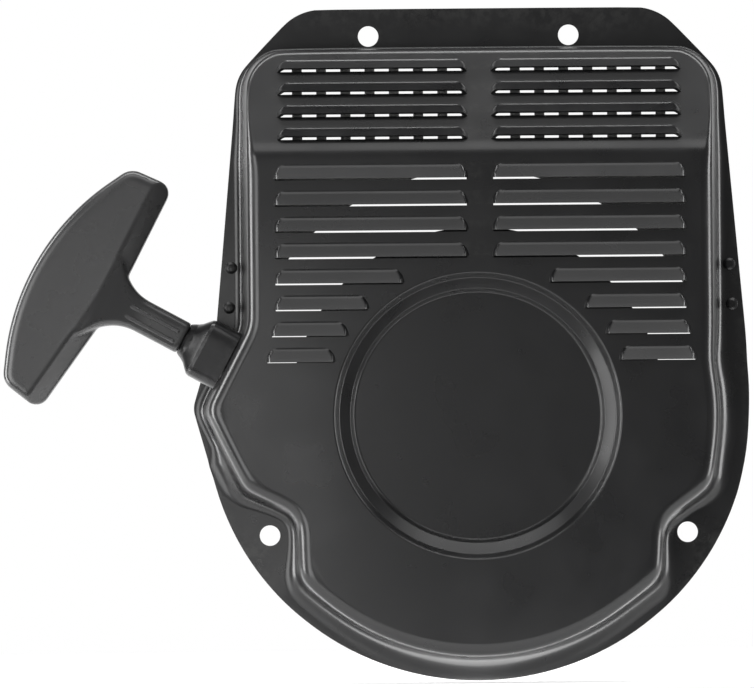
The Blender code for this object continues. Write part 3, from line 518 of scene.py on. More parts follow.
def new_node(tree, kind, values=None):
    node = tree.nodes.new("ShaderNode" + kind)
    set_sockets(node, values or {})
    return node


def new_material(name, colour, roughness, metallic=0.0):
    """A material with its node tree and its shader."""
    made = bpy.data.materials.new(name)
    made.use_nodes = True
    shader = made.node_tree.nodes["Principled BSDF"]
    set_sockets(shader, {"Base Color": (*colour, 1.0), "Roughness": roughness, "Metallic": metallic})
    return made, made.node_tree, shader


def noise_at(tree, scale, detail=4.0, stretch=None):
    """The value of a noise texture in object space, in metres."""
    noise = new_node(tree, "TexNoise", {"Scale": scale, "Detail": detail})
    source = new_node(tree, "TexCoord").outputs["Object"]
    if stretch:
        mapping = new_node(tree, "Mapping", {"Scale": stretch})
        tree.links.new(source, mapping.inputs["Vector"])
        source = mapping.outputs["Vector"]
    tree.links.new(source, noise.inputs["Vector"])
    return noise.outputs["Fac"]


def spread(tree, source, low, high, start=0.3, end=0.7):
    """A number from low to high as the source goes from start to end."""
    node = new_node(tree, "MapRange", {"From Min": start, "From Max": end, "To Min": low, "To Max": high})
    tree.links.new(source, node.inputs["Value"])
    return node.outputs["Result"]


def blend_colour(tree, factor, first, second):
    """A mix of two colours, each a tuple or another node's output."""
    node = new_node(tree, "Mix")
    node.data_type = "RGBA"
    for socket, value in ((node.inputs[6], first), (node.inputs[7], second)):
        if isinstance(value, tuple):
            socket.default_value = (*value, 1.0)
        else:
            tree.links.new(value, socket)
    tree.links.new(factor, node.inputs[0])
    return node.outputs[2]


def pointed(tree, start, end):
    """0 on flat stretches and 1 along convex edges."""
    geometry = new_node(tree, "NewGeometry")
    return spread(tree, geometry.outputs["Pointiness"], 0.0, 1.0, start, end)


def worn_edges(tree, start, end):
    """Convex edges, broken up by a fine noise."""
    product = new_node(tree, "Math")
    product.operation = "MULTIPLY"
    tree.links.new(pointed(tree, start, end), product.inputs[0])
    tree.links.new(spread(tree, noise_at(tree, 420.0, 3.0), 0.0, 1.0, 0.42, 0.62), product.inputs[1])
    return product.outputs[0]


def connect(tree, shader, colour, patches, roughness, grain, strength, distance):
    """Feeds the shader its colour, a roughness that varies with the patches, and a bump from the grain."""
    tree.links.new(colour, shader.inputs["Base Color"])
    tree.links.new(spread(tree, patches, *roughness), shader.inputs["Roughness"])
    bump = new_node(tree, "Bump", {"Strength": strength, "Distance": distance})
    tree.links.new(grain, bump.inputs["Height"])
    tree.links.new(bump.outputs["Normal"], shader.inputs["Normal"])


def painted_metal():
    """Gloss black paint on pressed steel: a faint orange peel, dull patches and rubbed edges."""
    made, tree, shader = new_material("black_paint", (0.006, 0.006, 0.0065), 0.3)
    set_sockets(shader, {"IOR": 1.5, "Coat Weight": 0.3, "Coat Roughness": 0.12})
    base = blend_colour(tree, noise_at(tree, 22.0, 5.0), (0.0045, 0.0045, 0.005), (0.0085, 0.0085, 0.009))
    colour = blend_colour(tree, worn_edges(tree, 0.54, 0.62), base, (0.030, 0.030, 0.029))
    peel = noise_at(tree, 900.0, 2.0)
    connect(tree, shader, colour, noise_at(tree, 60.0, 6.0), (0.25, 0.36), peel, 0.05, 0.0001)
    return made


def moulded_plastic(name, low, high, roughness, grain, gloss):
    """Black moulded plastic with a fine grain, flow marks and paler worn edges."""
    made, tree, shader = new_material(name, low, roughness[1])
    set_sockets(shader, {"IOR": 1.5, "Specular IOR Level": gloss})
    base = blend_colour(tree, noise_at(tree, 38.0, 5.0, (1.0, 1.0, 0.35)), low, high)
    paler = tuple(min(1.0, 2.6 * value) for value in high)
    colour = blend_colour(tree, worn_edges(tree, 0.53, 0.60), base, paler)
    bumps = noise_at(tree, grain, 3.0)
    connect(tree, shader, colour, noise_at(tree, 75.0, 6.0), roughness, bumps, 0.18, 0.00006)
    return made


def zinc_plate():
    """Dull zinc plating: soft spangles, a brushed grain and darker smudges."""
    made, tree, shader = new_material("zinc_plate", (0.55, 0.55, 0.54), 0.38, 1.0)
    cells = new_node(tree, "TexVoronoi", {"Scale": 260.0})
    tree.links.new(new_node(tree, "TexCoord").outputs["Object"], cells.inputs["Vector"])
    tone = blend_colour(tree, cells.outputs["Distance"], (0.60, 0.60, 0.58), (0.46, 0.46, 0.46))
    smudges = noise_at(tree, 40.0, 6.0)
    colour = blend_colour(tree, spread(tree, smudges, 0.0, 0.55, 0.45, 0.75), tone, (0.36, 0.35, 0.33))
    grain = noise_at(tree, 700.0, 2.0, (1.0, 1.0, 0.08))
    connect(tree, shader, colour, smudges, (0.30, 0.50), grain, 0.12, 0.00005)
    return made


def spring_steel():
    """Oiled spring steel, bluish with a fine lengthwise grain."""
    made, tree, shader = new_material("spring_steel", (0.20, 0.22, 0.26), 0.32, 1.0)
    heat = noise_at(tree, 90.0, 4.0)
    colour = blend_colour(tree, heat, (0.15, 0.17, 0.22), (0.30, 0.30, 0.31))
    grain = noise_at(tree, 500.0, 2.0, (1.0, 12.0, 1.0))
    connect(tree, shader, colour, heat, (0.24, 0.40), grain, 0.15, 0.00004)
    return made


def rope_yarn():
    """Black braided nylon, a little greyed, with a soft sheen and painted shade darkening the grooves between
    the strands.
    """
    made, tree, shader = new_material("rope_yarn", (0.10, 0.10, 0.11), 0.8)
    set_sockets(shader, {"Sheen Weight": 0.4, "Sheen Roughness": 0.5})
    dirt = noise_at(tree, 150.0, 6.0)
    yarn = blend_colour(tree, dirt, (0.060, 0.060, 0.066), (0.13, 0.13, 0.14))
    # painted shade: where pointiness is low, in the grooves between the strands, the yarn colour gives way to
    # a much darker one
    colour = blend_colour(tree, pointed(tree, 0.46, 0.54), (0.022, 0.022, 0.024), yarn)
    connect(tree, shader, colour, dirt, (0.70, 0.90), noise_at(tree, 2600.0, 4.0), 0.35, 0.00008)
    return made


# Making and placing pieces


def shade(mesh, smooth):
    """Smooth shading, with an edge wherever the surface turns by more than the angle."""
    mesh.shade_smooth()
    mesh.set_sharp_from_angle(angle=radians(smooth))


def even_normals(obj):
    """Shading that follows the large faces, so that small bevels look round."""
    weighted = obj.modifiers.new("normals", "WEIGHTED_NORMAL")
    weighted.keep_sharp = True


def finish_piece(name, made, place, look, smooth=CREASE):
    """An object from a bmesh in millimetres, in the given frame."""
    bmesh.ops.recalc_face_normals(made, faces=made.faces)
    mesh = bpy.data.meshes.new(name)
    made.transform(place @ Matrix.Scale(MM, 4))
    made.to_mesh(mesh)
    made.free()
    shade(mesh, smooth)
    obj = new_object(name, mesh)
    if look:
        mesh.materials.append(look)
    return obj


def boolean(target, tool, operation):
    """Joins or cuts the target with the tool, keeps the result as its mesh and removes the tool."""
    modifier = target.modifiers.new(operation.lower(), "BOOLEAN")
    modifier.object = tool
    modifier.operation = operation
    apply_modifiers(target)
    bpy.data.objects.remove(tool, do_unlink=True)


def apply_modifiers(target, smooth=CREASE):
    """Keeps the result of the object's modifiers as its mesh."""
    bpy.context.view_layer.update()
    graph = bpy.context.evaluated_depsgraph_get()
    mesh = bpy.data.meshes.new_from_object(target.evaluated_get(graph))
    target.modifiers.clear()
    target.data = mesh
    shade(mesh, smooth)


def install(obj, body, slot, *nodes):
    """The piece rides on a body and stands for CAD nodes, which are hidden; the slot argument is not used."""
    even_normals(obj)
    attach(obj, body)
    if nodes:
        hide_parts(*nodes)


def soften(profile, radius, steps=3):
    """The closed profile with each corner off the axis rounded, by less where a side is short."""
    points = []
    count = len(profile)
    for k, corner in enumerate(profile):
        here = Vector(corner)
        before = Vector(profile[k - 1]) - here
        after = Vector(profile[(k + 1) % count]) - here
        room = 0.42 * min(before.length, after.length)
        half = before.angle(after) / 2
        if here.x < 1e-6 or radius <= 0 or half > radians(86):
            points.append(tuple(here))
            continue
        reach = min(radius / tan(half), room)
        start = here + before.normalized() * reach
        end = here + after.normalized() * reach
        for i in range(steps + 1):
            t = i / steps
            point = start * (1 - t) ** 2 + here * 2 * t * (1 - t) + end * t * t
            points.append((point.x, point.y))
    return points


def turned(name, profile, place, look, sides=FINE, soft=0.25, shape=None):
    """A solid of revolution about the frame's Z axis; shape changes a radius by angle and height."""
    made = bmesh.new()
    rings = []
    for radius, height in soften(profile, soft):
        steps = sides if radius > 1e-6 else 1
        ring = []
        for i in range(steps):
            angle = 2 * pi * i / sides
            wide = radius * (shape(angle, radius, height) if shape else 1.0)
            ring.append(made.verts.new((wide * cos(angle), wide * sin(angle), height)))
        rings.append(ring)
    for k, ring in enumerate(rings):
        following = rings[(k + 1) % len(rings)]
        if len(ring) > 1 or len(following) > 1:
            ring_faces(made, ring, following)
    return finish_piece(name, made, place, look)


def tube_profile(bore, radius, low, high):
    """The outline of a plain ring or, with no bore, of a disc."""
    return [(bore, low), (bore, high), (radius, high), (radius, low)]


def drill(target, radius, low, high, place, sides=48):
    """Cuts a round hole along the frame's Z axis."""
    tool = turned("drill", tube_profile(0.0, radius, low, high), place, None, sides, 0.0)
    boolean(target, tool, "DIFFERENCE")


def prisms(name, outlines, low, high, place, look=None):
    """One or more straight extrusions of closed outlines along the frame's Z axis."""
    made = bmesh.new()
    for outline in outlines:
        loft(made, [[made.verts.new((x, y, z)) for x, y in outline] for z in (low, high)])
    return finish_piece(name, made, place, look)


def lofted(name, rings, place, look=None, smooth=CREASE):
    """A closed solid through rings of points, each ring with as many points as the next."""
    made = bmesh.new()
    loft(made, [[made.verts.new(point) for point in ring] for ring in rings])
    return finish_piece(name, made, place, look, smooth)


def soften_edges(obj, width, segments=3, angle=40.0):
    """Rounds the edges that are sharper than the angle."""
    bevel = obj.modifiers.new("soft_edge", "BEVEL")
    bevel.width = width * MM
    bevel.segments = segments
    bevel.limit_method = "ANGLE"
    bevel.angle_limit = radians(angle)
    bevel.harden_normals = False


# The cover


def refine(points):
    """More points on a closed outline: each stretch is a cubic, and a long straight one stays straight."""
    count = len(points)
    tangents = [(points[(i + 1) % count] - points[i - 1]).normalized() for i in range(count)]
    fine = []
    for i, start in enumerate(points):
        end = points[(i + 1) % count]
        size = (end - start).length
        for k in range(REFINE):
            t = k / REFINE
            leaving = tangents[i] * size * (t ** 3 - 2 * t ** 2 + t)
            arriving = tangents[(i + 1) % count] * size * (t ** 3 - t ** 2)
            fine.append(start * (2 * t ** 3 - 3 * t ** 2 + 1) + leaving
                        + end * (3 * t ** 2 - 2 * t ** 3) + arriving)
    return fine[:TOP_CORNER + 1] + fine[TOP_CORNER + REFINE:]


def eased_corners(points, passes):
    """The outline with its bends spread over more of its points; the long straight sides don't move."""
    for _ in range(passes):
        count = len(points)
        points = [points[i] * 0.5 + (points[i - 1] + points[(i + 1) % count]) * 0.25 for i in range(count)]
    return points


def wall_sections():
    """For each point round the cover, its line of (x, z, depth) from the face's edge to the flange's edge."""
    body, foot, flange = (refine(outline) for outline in (body_outline(), foot_outline(), flange_outline()))
    body = eased_corners(body, 5)
    foot = eased_corners(foot, 5)
    flange = eased_corners(flange, 2)
    lines = []
    for a, a_out, b, b_out, c in zip(body, outward(body), foot, outward(foot), flange):
        line = []
        for k in range(ARC_STEPS + 1):
            angle = pi / 2 * k / ARC_STEPS
            point = a - a_out * edge_round(a.y) * (1 - sin(angle))
            line.append((point.x, point.y, face_depth(point.y) - edge_round(a.y) * (1 - cos(angle))))
        fillet = foot_fillet(b.x, b.y)
        for k in range(ARC_STEPS + 1):
            angle = pi / 2 * k / ARC_STEPS
            point = b + b_out * fillet * (1 - cos(angle))
            line.append((point.x, point.y, SHEET + fillet * (1 - sin(angle))))
        line.append((c.x, c.y, SHEET))
        lines.append(line)
    return lines


def dish_profile(steps=4):
    """(radius, depth below the face) down a step, a sloping band and a second step into the round dish."""
    line = [(DISH_OUTER + 1.2, 0), (DISH_OUTER + 0.4, 32), (DISH_OUTER - 0.9, 34), (DISH_OUTER - 1.3, 11),
            (DISH_INNER + 1.4, 12), (DISH_INNER + 1.1, 34), (DISH_INNER + 0.2, 32), (DISH_INNER - 0.6, 0)]
    points = [(line[0][0], 0.0)]
    for (start, first), (end, second) in zip(line, line[1:]):
        for k in range(steps):
            slope = radians(first + (second - first) * (k + 0.5) / steps)
            points.append((start + (end - start) * (k + 1) / steps,
                           points[-1][1] + tan(slope) * (start - end) / steps))
    return [(radius, drop * DISH_DEPTH / points[-1][1]) for radius, drop in points]


def cover_skin():
    """The cover's outer surface as an open sheet: face, dish, rounded edge, wall and flange."""
    made = bmesh.new()
    grid = [[made.verts.new(point) for point in line] for line in wall_sections()]
    count = len(grid)
    for i in range(count):
        strip(made, grid[i], grid[(i + 1) % count])
    edge = [line[0] for line in grid]
    side = len(SIDE_ROWS) * REFINE
    left = list(reversed(edge[:TOP_CORNER + 1])) + list(reversed(edge[-side:]))
    right = edge[TOP_CORNER + 1:TOP_CORNER + 1 + len(left)]
    strip(made, left, right)
    lower = edge[TOP_CORNER + len(left):count - side + 1]
    rings = []
    for radius, drop in dish_profile():
        rings.append([made.verts.new((x, z, FACE_DEPTH - drop)) for x, z in circle(0.0, 0.0, radius, FINE)])
    for first, second in zip(rings, rings[1:]):
        ring_faces(made, first, second)
    made.faces.new(rings[-1])
    border = [made.edges.get((lower[i], lower[i + 1])) for i in range(len(lower) - 1)]
    border.append(made.edges.get((lower[-1], lower[0])))
    border += [made.edges.get((rings[0][i - 1], rings[0][i])) for i in range(len(rings[0]))]
    bmesh.ops.triangle_fill(made, edges=border, use_beauty=True, normal=(0, 0, 1))
    return made


def hood_stations(length, inset, steps=8):
    """(spine x, edge x, edge y) along a hood's footprint, from one lower corner over the top to the other."""
    end = LOUVRE_END - inset
    height = LOUVRE_HEIGHT - inset
    spine = length / 2 - LOUVRE_END
    angles = [pi / 2 * k / steps for k in range(steps + 1)]
    left = [(-spine, -spine - end * cos(angle), height * sin(angle)) for angle in angles]
    return left + [(-middle, -edge_x, edge_y) for middle, edge_x, edge_y in reversed(left)]


def soft_minimum(first, second, width):
    """The smaller of the two, with the corner between them rounded."""
    gap = max(width - abs(first - second), 0.0) / width
    return min(first, second) - gap * gap * width / 4


def hood_rise(rho, height, reach):
    """How far a hood stands out: a ramp from its top edge to its lip, with steep ends."""
    up = 1 - height
    ramp = up ** 2 / (2 * RAMP_START) if up < RAMP_START else up - RAMP_START / 2
    ramp *= LOUVRE_PROUD / (1 - RAMP_START / 2)
    wall = LOUVRE_END_SLOPE * (1 - rho) * reach
    return max(0.0, soft_minimum(ramp, wall, 0.8))


def hood_sheet(made, length, inset, place, foot):
    """One skin of a louvre's hood, open along its lower edge."""
    grid = []
    for spine, edge_x, edge_y in hood_stations(length, inset):
        reach = hypot(edge_x - spine, edge_y)
        line = []
        for k in range(HOOD_STEPS + 1):
            rho = k / HOOD_STEPS
            x = spine + (edge_x - spine) * rho
            rise = hood_rise(rho, edge_y * rho / (LOUVRE_HEIGHT - inset), reach)
            rise *= (LOUVRE_PROUD - inset) / LOUVRE_PROUD
            line.append(made.verts.new(place @ Vector((x, edge_y * rho, rise))))
        line.append(made.verts.new(place @ Vector((edge_x, edge_y, foot))))
        grid.append(line)
    for first, second in zip(grid, grid[1:]):
        strip(made, first, second)
    return grid


def add_hood(made, length, place):
    """One louvre's hood as a closed shell that sinks half-way into the sheet."""
    foot = -SHEET / 2
    outer = hood_sheet(made, length, 0.0, place, foot)
    inner = hood_sheet(made, length, LOUVRE_SKIN, place, foot)
    strip(made, [line[-1] for line in outer], [line[-1] for line in inner])
    strip(made, list(reversed(outer[0])) + outer[-1], list(reversed(inner[0])) + inner[-1])


def hoods_and_slots(made_hoods, made_slots):
    """Adds every louvre's hood, and the slot under it, to two helper meshes."""
    to_sheet = Matrix.Scale(1 / MM, 4) @ AXIS.inverted()
    for x, z, length, slit in louvres():
        place = to_sheet @ slope_frame(x, z) @ Matrix.Scale(MM, 4)
        add_hood(made_hoods, length, place)
        stations = hood_stations(length, LOUVRE_SKIN * 0.55)
        outline = [(edge_x, max(edge_y, -slit)) for _, edge_x, edge_y in stations]
        if slit > 0:
            reach = outline[-1][0]
            outline += [(reach, -slit), (-reach, -slit)]
        loft(made_slots, [[made_slots.verts.new(place @ Vector((u, v, w))) for u, v in outline]
                          for w in (-4.0, 4.0)])


def build_cover(look):
    """The stamped cover: sheet, bolt holes, rope hole, louvres and their slots."""
    skin = cover_skin()
    bmesh.ops.recalc_face_normals(skin, faces=skin.faces)
    if sum((f.normal.z * f.calc_area() for f in skin.faces), 0.0) < 0:
        bmesh.ops.reverse_faces(skin, faces=skin.faces)
    mesh = bpy.data.meshes.new("cover")
    skin.transform(AXIS @ Matrix.Scale(MM, 4))
    skin.to_mesh(mesh)
    skin.free()
    cover = new_object("cover", mesh)
    mesh.materials.append(look)
    solidify = cover.modifiers.new("sheet", "SOLIDIFY")
    solidify.thickness = SHEET * MM
    solidify.offset = -1.0
    solidify.use_even_offset = False
    holes = circles(BOLTS, BOLT_HOLE, 48) + circles(RIVETS, RIVET_SHANK + GAP, 16)
    boolean(cover, prisms("holes", holes, -5.0, 5.0, AXIS), "DIFFERENCE")
    drill(cover, 7.0, -16.0, 4.0, along_pull())
    hoods = bmesh.new()
    slots = bmesh.new()
    hoods_and_slots(hoods, slots)
    boolean(cover, finish_piece("louvre_slots", slots, AXIS, None), "DIFFERENCE")
    bmesh.ops.remove_doubles(hoods, verts=hoods.verts, dist=1e-4)
    bmesh.ops.recalc_face_normals(hoods, faces=hoods.faces)
    hoods.transform(AXIS @ Matrix.Scale(MM, 4))
    hoods.from_mesh(cover.data)
    hoods.to_mesh(cover.data)
    hoods.free()
    shade(cover.data, CREASE)
    install(cover, "housing", "black_painted_steel", "housing_cover")


def dress_node(name, look, width=0.0):
    """A CAD node that keeps its shape, with a better material and softened edges."""
    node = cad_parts[name]
    node.data.materials.clear()
    node.data.materials.append(look)
    if width:
        soften_edges(node, width)
        even_normals(node)


def build_rivets(look):
    front = SHEET + GAP
    rear = -GAP - SCREEN_SHEET - GAP
    profile = [(0.0, rear - RIVET_HEAD_DEPTH), (RIVET_HEAD * 0.8, rear - RIVET_HEAD_DEPTH),
               (RIVET_HEAD, rear - 0.2), (RIVET_HEAD, rear), (RIVET_SHANK, rear), (RIVET_SHANK, front),
               (RIVET_HEAD, front), (RIVET_HEAD, front + 0.2),
               (RIVET_HEAD * 0.6, front + RIVET_HEAD_DEPTH * 0.8), (0.0, front + RIVET_HEAD_DEPTH)]
    for number, (x, z) in enumerate(RIVETS, 1):
        rivet = turned(f"rivet_{number}", profile, frame_at(x, z), look, 32)
        install(rivet, "housing", "black_painted_steel", f"screen_rivet_{number}")


def build_post(steel):
    dish_back = FACE_DEPTH - DISH_DEPTH - SHEET
    plate = turned("post_base", tube_profile(0.0, 17.0, POST_TOP + GAP, dish_back - GAP), AXIS, steel)
    install(plate, "housing", "zinc_plated_steel", "post_plate")
    profile = [(0.0, POST_TOP), (POST_RADIUS, POST_TOP), (POST_RADIUS, POST_SHOULDER),
               (POST_NECK, POST_SHOULDER), (POST_NECK, POST_END), (POST_THREAD, POST_END),
               (POST_THREAD, 22.0), (0.0, 23.5)]
    install(turned("post", profile, AXIS, steel), "housing", "zinc_plated_steel", "centre_post")


def build_pulley(look):
    """The rope pulley: hub, spring cup, bosses, groove and flat ribs on its rear."""
    groove_low = ROPE_DEPTH - GROOVE_HALF_WIDTH
    groove_high = ROPE_DEPTH + GROOVE_HALF_WIDTH
    rim_top = groove_high + RIM_WALL
    raised = WEB_REAR + 0.35
    profile = [(HUB_BORE, WEB_REAR - 0.5), (HUB_BORE, HUB_TOP), (HUB_RADIUS, HUB_TOP),
               (HUB_RADIUS, WEB_FRONT), (CUP_INNER, WEB_FRONT), (CUP_INNER, CUP_TOP), (CUP_OUTER, CUP_TOP),
               (CUP_OUTER, WEB_FRONT), (RIM_INNER, WEB_FRONT), (RIM_INNER, rim_top), (PULLEY_RADIUS, rim_top),
               (PULLEY_RADIUS, groove_high + 0.4), (GROOVE_FLOOR, groove_high), (GROOVE_FLOOR, groove_low),
               (PULLEY_RADIUS, groove_low - 0.4), (PULLEY_RADIUS, WEB_REAR), (61.0, WEB_REAR), (60.2, raised),
               (37.0, raised), (36.2, WEB_REAR), (HUB_RADIUS + 4.0, WEB_REAR),
               (HUB_RADIUS + 3.4, WEB_REAR - 0.5)]
    pulley = turned("pulley", profile, AXIS, look)
    centres = on_orbit(BOSS_ORBIT, BOSS_ANGLES)
    bosses = circles(centres, BOSS_RADIUS, 24)
    boolean(pulley, prisms("bosses", bosses, WEB_FRONT - 1.0, CUP_TOP, AXIS), "UNION")
    holes = circles(centres, BOSS_BORE, 24)
    holes += circles(on_orbit(PAWL_ORBIT, PAWL_ANGLES), PIN_RADIUS + GAP, 32)
    boolean(pulley, prisms("pulley_holes", holes, WEB_REAR - 3.0, CUP_TOP + 3.0, AXIS), "DIFFERENCE")
    ribs = []
    for x, z in on_orbit(1.0, range(15, 360, 30)):
        tip = Vector((x, z))
        side = Vector((-z, x)) * 0.7
        near = tip * 37.5
        far = tip * 60.0
        ribs.append([tuple(near - side), tuple(far - side), tuple(far + side), tuple(near + side)])
    boolean(pulley, prisms("pulley_ribs", ribs, WEB_REAR + 0.02, WEB_REAR + 0.7, AXIS), "UNION")
    lean = Matrix.Rotation(radians(KNOT_ANGLE), 4, "Z") @ Matrix.Rotation(radians(90), 4, "Y")
    drill(pulley, 2.4, RIM_INNER - 2.0, GROOVE_FLOOR + 2.0, frame_at(0.0, 0.0, ROPE_DEPTH) @ lean, 24)
    install(pulley, "pulley", "black_nylon", "rope_pulley")


def build_spring_retainer(look):
    low = CUP_TOP + GAP
    high = low + 1.0
    plate = turned("retainer_plate", tube_profile(HUB_RADIUS + 0.5, 46.8, low, high), AXIS, look)
    centres = on_orbit(BOSS_ORBIT, BOSS_ANGLES)
    holes = circles(centres, BOSS_BORE, 24)
    boolean(plate, prisms("holes", holes, low - 3.0, high + 3.0, AXIS), "DIFFERENCE")
    install(plate, "pulley", "zinc_plated_steel", "spring_retainer")
    profile = [(0.0, low - 7.0), (1.2, low - 7.0), (1.2, high + GAP), (2.6, high + GAP), (2.4, high + 1.0),
               (1.6, high + 1.6), (0.0, high + 1.7)]
    for number, (x, z) in enumerate(centres, 1):
        screw = turned(f"retainer_bolt_{number}", profile, frame_at(x, z), look, 32)
        slot = [(-2.0, -0.35), (2.0, -0.35), (2.0, 0.35), (-2.0, 0.35)]
        boolean(screw, prisms("slot", [slot], high + 1.2, high + 3.0, frame_at(x, z)), "DIFFERENCE")
        install(screw, "pulley", "zinc_plated_steel", f"retainer_screw_{number}")


def build_recoil_spring(look):
    per_turn = 64
    count = per_turn * SPRING_TURNS
    rings = []
    for i in range(count + 1):
        angle = 2 * pi * i / per_turn
        radius = SPRING_INNER + (SPRING_OUTER - SPRING_INNER) * i / count
        outer = radius + SPRING_STRIP
        ends = [(radius, SPRING_LOW), (outer, SPRING_LOW), (outer, SPRING_HIGH), (radius, SPRING_HIGH)]
        rings.append([(reach * cos(angle), reach * sin(angle), height) for reach, height in ends])
    install(lofted("spiral_spring", rings, AXIS, look), "pulley", "spring_steel", "recoil_spring")


# The rope


def braided_tube(name, route, look, sides=24):
    """A rope along a route in world millimetres, with two crossing sets of strands raised on it."""
    rings = []
    travelled = 0.0
    side = Vector((0.0, -1.0, 0.0))
    for i, point in enumerate(route):
        along = (route[min(i + 1, len(route) - 1)] - route[max(i - 1, 0)]).normalized()
        across = along.cross(side).normalized()
        up = across.cross(along)
        if i:
            travelled += (point - route[i - 1]).length
        ring = []
        for k in range(sides):
            angle = 2 * pi * k / sides
            twist = 2 * pi * travelled / STRAND_PITCH
            weave = abs(sin(2 * angle + twist)) * abs(sin(2 * angle - twist))
            radius = ROPE_RADIUS * (1 - STRAND_HEIGHT + STRAND_HEIGHT * weave ** 0.5)
            ring.append(point + across * radius * cos(angle) + up * radius * sin(angle))
        rings.append(ring)
    return lofted(name, rings, Matrix.Identity(4), look, 80.0)


def evenly(route, step):
    """The route with a point every step of its length."""
    fine = [route[0]]
    left = step
    for start, end in zip(route, route[1:]):
        length = (end - start).length
        while left <= length:
            fine.append(start.lerp(end, left / length))
            left += step
        left -= length
    fine.append(route[-1])
    return fine


def build_rope(look):
    tangent, along = rope_tangent()
    inside = [on_pull(distance) for distance in (-15.0, -10.5, -4.0, 8.0, 24.0, 40.0, 50.0, 58.0)]
    inside[0] = inside[0] + along * -1.2
    route = evenly(smooth_route([tangent + along * 26.0] + inside, 8), 0.6)
    run = braided_tube("rope", route, look)
    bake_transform(run)
    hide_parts("rope_run")
    spot = atan2(tangent.z, tangent.x)
    outer = outer_coil_radius()
    inner = GROOVE_FLOOR + GAP + ROPE_RADIUS
    total = radians(360.0 * ROPE_TURNS - 20.0)
    coil = []
    for i in range(COIL_POINTS):
        t = i / (COIL_POINTS - 1)
        angle = spot - total * t
        radius = outer - (outer - inner) * t
        coil.append(Vector((radius * cos(angle), -ROPE_DEPTH, radius * sin(angle))))
    lead = [tangent + along * 24.0 * (1 - i / 20) for i in range(20)]
    winding = braided_tube("rope_winding", evenly(lead + coil, 0.8), look, 16)
    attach(winding, "pulley")
    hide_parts("rope_coil")


def build_rope_guide(look):
    """The flared eye: its flare has four soft corners, and its base is cut to the shoulder's wall."""
    through = -WALL_BEHIND_EYE - SHEET - 3.6
    mouth = NECK_START - 0.05
    profile = [(BORE + 1.0, mouth), (GUIDE_MOUTH - 0.4, mouth), (GUIDE_MOUTH, NECK_START - 0.8),
               (GUIDE_MOUTH + 0.3, 11.2), (7.1, 10.0), (8.6, 8.7), (10.6, 7.3), (GUIDE_FLARE - 0.8, 6.0),
               (GUIDE_FLARE - 0.4, 4.9), (GUIDE_FLARE - 0.4, -8.0), (BORE, -8.0), (BORE, NECK_START - 1.4)]

    def squarish(angle, radius, height):
        """Four flat sides between soft corners, from the mouth's rim on outwards."""
        strength = min(1.0, max(0.0, (radius - 6.2) / 3.0))
        square = (abs(cos(angle)) ** 5 + abs(sin(angle)) ** 5) ** -0.2
        return 1.0 + strength * (square / 1.149 - 1.0)

    guide = turned("rope_eye", profile, along_pull(), look, 96, 0.5, squarish)
    lean = Matrix.Rotation(atan2(WALL_LEAN, 1.0), 4, "X")
    wall = pull_frame() @ Matrix.Translation((0, (-WALL_BEHIND_EYE + 2 * GAP) * MM, 0)) @ lean
    box = [(-20.0, 0.0), (20.0, 0.0), (20.0, -12.0), (-20.0, -12.0)]
    boolean(guide, prisms("wall_side", [box], -20.0, 20.0, wall), "DIFFERENCE")
    neck = turned("guide_neck", tube_profile(BORE, 6.5, through, -3.0), along_pull(), None, 96, 0.0)
    boolean(guide, neck, "UNION")
    install(guide, "housing", "black_nylon", "rope_guide")
    ring = tube_profile(6.8, 10.5, through + 0.2, through + 1.7)
    collar = turned("guide_ring", ring, along_pull(), look, 64)
    install(collar, "housing", "black_nylon", "guide_collar")


def build_pawls(steel):
    for tag, angle, (x, z) in zip("ab", PAWL_ANGLES, on_orbit(PAWL_ORBIT, PAWL_ANGLES)):
        place = frame_at(x, z) @ Matrix.Rotation(radians(angle + 90.0), 4, "Z")
        dress_node(f"pawl_{tag}", steel, 0.3)
        pin = [(0.0, WEB_FRONT - 0.5), (PIN_RADIUS, WEB_FRONT - 0.5), (PIN_RADIUS, PAWL_REAR - GAP),
               (3.4, PAWL_REAR - GAP), (3.3, PAWL_REAR - 0.9), (2.4, PAWL_REAR - 1.3), (0.0, PAWL_REAR - 1.3)]
        rivet = turned(f"pawl_rivet_{tag}", pin, place, steel, 48)
        install(rivet, "pulley", "zinc_plated_steel", f"pawl_pin_{tag}")


def build_stack(steel, spring):
    """The washers, the friction plate and the screw that hold the pulley on its post."""
    dress_node("guide_plate", steel, 0.25)
    stack = (("pulley_washer", "thrust_washer", POST_NECK + GAP, 11.5, 10.8, POST_SHOULDER - GAP, steel),
             ("brake_spring", "friction_spring", POST_NECK + GAP, 10.5, 4.5, GUIDE_REAR - GAP, spring),
             ("bolt_washer", "screw_washer", SCREW_SHANK + GAP, 12.0, 3.0, POST_END - GAP, steel))
    for name, node, bore, radius, low, high, look in stack:
        slot = "spring_steel" if look is spring else "zinc_plated_steel"
        install(turned(name, tube_profile(bore, radius, low, high), AXIS, look), "housing", slot, node)
    flat = SCREW_ACROSS_FLATS / 2
    screw = prisms("bolt", [circle(0.0, 0.0, flat / cos(radians(30)), 6)], -1.0, 1.6, AXIS, steel)
    cone = [(0.0, -1.0), (flat, -1.0), (flat + 2.0, 0.2), (flat + 2.0, 3.0), (0.0, 3.0)]
    boolean(screw, turned("chamfer", cone, AXIS, None, 64, 0.0), "INTERSECT")
    boolean(screw, turned("bolt_flange", tube_profile(0.0, 7.5, 1.2, 2.7), AXIS, None, 64), "UNION")
    boolean(screw, turned("bolt_shank", tube_profile(0.0, SCREW_SHANK, 2.0, 20.0), AXIS, None, 48), "UNION")
    install(screw, "housing", "zinc_plated_steel", "centre_screw")


# The handle


